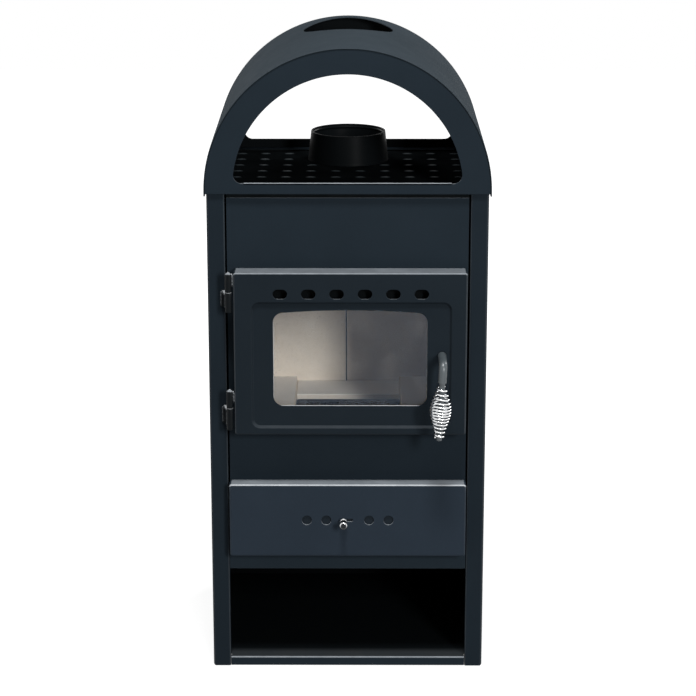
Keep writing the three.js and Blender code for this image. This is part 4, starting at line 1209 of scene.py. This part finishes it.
def build_drawer():
    rings = [ring(DRAWER, 6, DRAWER_FRONT)]
    rings += folded_edge(DRAWER, DRAWER_FRONT, FOLD)[::-1]
    rings += [ring(DRAWER, 0, DRAWER_REAR - 0.3), ring(DRAWER, 0.3, DRAWER_REAR)]
    rings += [ring(DRAWER, SHEET - 0.3, DRAWER_REAR), ring(DRAWER, SHEET, DRAWER_REAR - 0.3)]
    rings += folded_edge(DRAWER, DRAWER_FRONT + SHEET, FOLD - SHEET, SHEET)
    rings.append(ring(DRAWER, 6, DRAWER_FRONT + SHEET))
    tools = [
        flared(lambda grow, x=x: circle(x, AIR_Z, 7.4 + grow, 40), DRAWER_FRONT, DRAWER_FRONT + 4, 0.35)
        for x in AIR_HOLES
    ]

    def slot(grow):
        half = 2.3 + grow
        return rounded_rect(-8.6 - grow, 8.2 + grow, AIR_Z - half, AIR_Z + half, 2.2 + grow, mids=1)

    tools.append(flared(slot, DRAWER_FRONT, DRAWER_FRONT + 4, 0.3))
    add_piece("drawer_front_pressed", [skin(rings, caps=True)], "drawer", "casing_paint", ["drawer_front"],
              tools, sharp=38, finish="drawer_paint")

    waist = [(3.4, -46.6), (5.4, -45.4), (6, -43.8), (5.6, -42), (3.6, -39.5), (3.15, -35.5), (3.4, -31.5),
             (5.6, -28.2), (5.9, -26.8), (5.2, -25.2), (3.2, -23)]
    profile = [(0, -47), (1.6, -46.95)] + smooth_line(waist, 5) + [(1.9, -22.9), (1.9, -13.5), (0, -13.5)]
    add_piece("air_knob_turned", [turned(profile, KNOB_X, 0, AIR_Z, 48, "y")], "air_control", "chrome_wire",
              ["air_knob"], sharp=50, finish="knob_chrome")


def smooth_line(points, steps):
    """A smooth line through points (Catmull-Rom)."""
    line = []
    last = len(points) - 1
    for k in range(last):
        p0, p1, p2, p3 = (Vector(points[min(max(j, 0), last)]) for j in (k - 1, k, k + 1, k + 2))
        for j in range(steps):
            t = j / steps
            line.append(tuple(0.5 * (2 * p1 + (p2 - p0) * t + (2 * p0 - 5 * p1 + 4 * p2 - p3) * t ** 2
                                     + (3 * p1 - p0 - 3 * p2 + p3) * t ** 3)))
    return line + [points[-1]]


# ---- studio


def add_world():
    """White to the eye, a weak even light for the stove."""
    nodes = Nodes(bpy.data.worlds.new("studio"))
    scene.world = nodes.owner
    weak, white = (
        nodes.made("ShaderNodeBackground", {"Color": (1, 1, 1), "Strength": strength})
        for strength in (0.06, 1.0)
    )
    sky = nodes.mixed_shaders(nodes.seen_by_eye(), weak, white)
    nodes.add("ShaderNodeOutputWorld", {"Surface": sky})


def add_floor():
    """A grey floor for the rays that light the stove; to the eye it glows nearly white, and keeps the
    stove's shadow."""
    half = 6000
    corners = [(x, y, 0) for x, y in rectangle(-half, half, -half, half)]
    floor = new_object("studio_floor", [(corners, [(0, 1, 2, 3)])])
    f = Finish("studio_floor")
    pale = f.made("ShaderNodeBsdfDiffuse", {"Color": (0.3, 0.3, 0.3)})
    soft = f.made("ShaderNodeBsdfDiffuse", {"Color": (0.25, 0.25, 0.25)})
    reach = f.made("ShaderNodeVectorMath", {0: f.place}, "Value", operation="LENGTH")
    whiteness = f.ranged(reach, 0.5, 1.8, 0.80)
    glow = f.made("ShaderNodeEmission", {"Color": (1, 1, 1), "Strength": whiteness})
    eye = f.made("ShaderNodeAddShader", {0: soft, 1: glow})
    f.finished(f.mixed_shaders(f.seen_by_eye(), pale, eye))
    floor.data.materials.append(f.owner)


# Azimuth to the right of the front and elevation in degrees, width and height in metres, watts
SOFTBOXES = {
    "front_softbox": (24, 18, 0.62, 1.3, 140),
    "top_softbox": (0, 68, 0.9, 0.7, 200),
    "rear_softbox_left": (-140, 22, 1.6, 1.6, 110),
    "rear_softbox_right": (140, 22, 1.6, 1.6, 110),
}
LAMP_DISTANCE = 4.5
STOVE_MIDDLE = Vector((0, 0, 0.5))


def softbox(name, azimuth, elevation, width, height, watts):
    """An area lamp aimed at the middle of the stove."""
    a = radians(azimuth)
    e = radians(elevation)
    away = Vector((sin(a) * cos(e), -cos(a) * cos(e), sin(e)))
    lamp = bpy.data.lights.new(name, "AREA")
    lamp.shape = "RECTANGLE"
    lamp.size = width
    lamp.size_y = height
    lamp.energy = watts
    holder = bpy.data.objects.new(name, lamp)
    holder.location = STOVE_MIDDLE + away * LAMP_DISTANCE
    holder.rotation_euler = away.to_track_quat("Z", "Y").to_euler()
    scene.collection.objects.link(holder)


def add_camera():
    data = bpy.data.cameras.new("camera")
    data.lens = 114.2
    data.shift_y = -0.05
    data.clip_end = 100
    camera = bpy.data.objects.new("camera", data)
    camera.location = place(11.7, -3201, 1441.7)
    camera.rotation_euler = (radians(90 - 15.18), 0, radians(0.2))
    scene.collection.objects.link(camera)
    scene.camera = camera


build_casing()
build_top()
build_hood()
build_firebox()
build_door()
build_hinges()
build_handle()
build_drawer()
keep_nodes()
add_world()
add_floor()
for lamp_name, numbers in SOFTBOXES.items():
    softbox(lamp_name, *numbers)
add_camera()
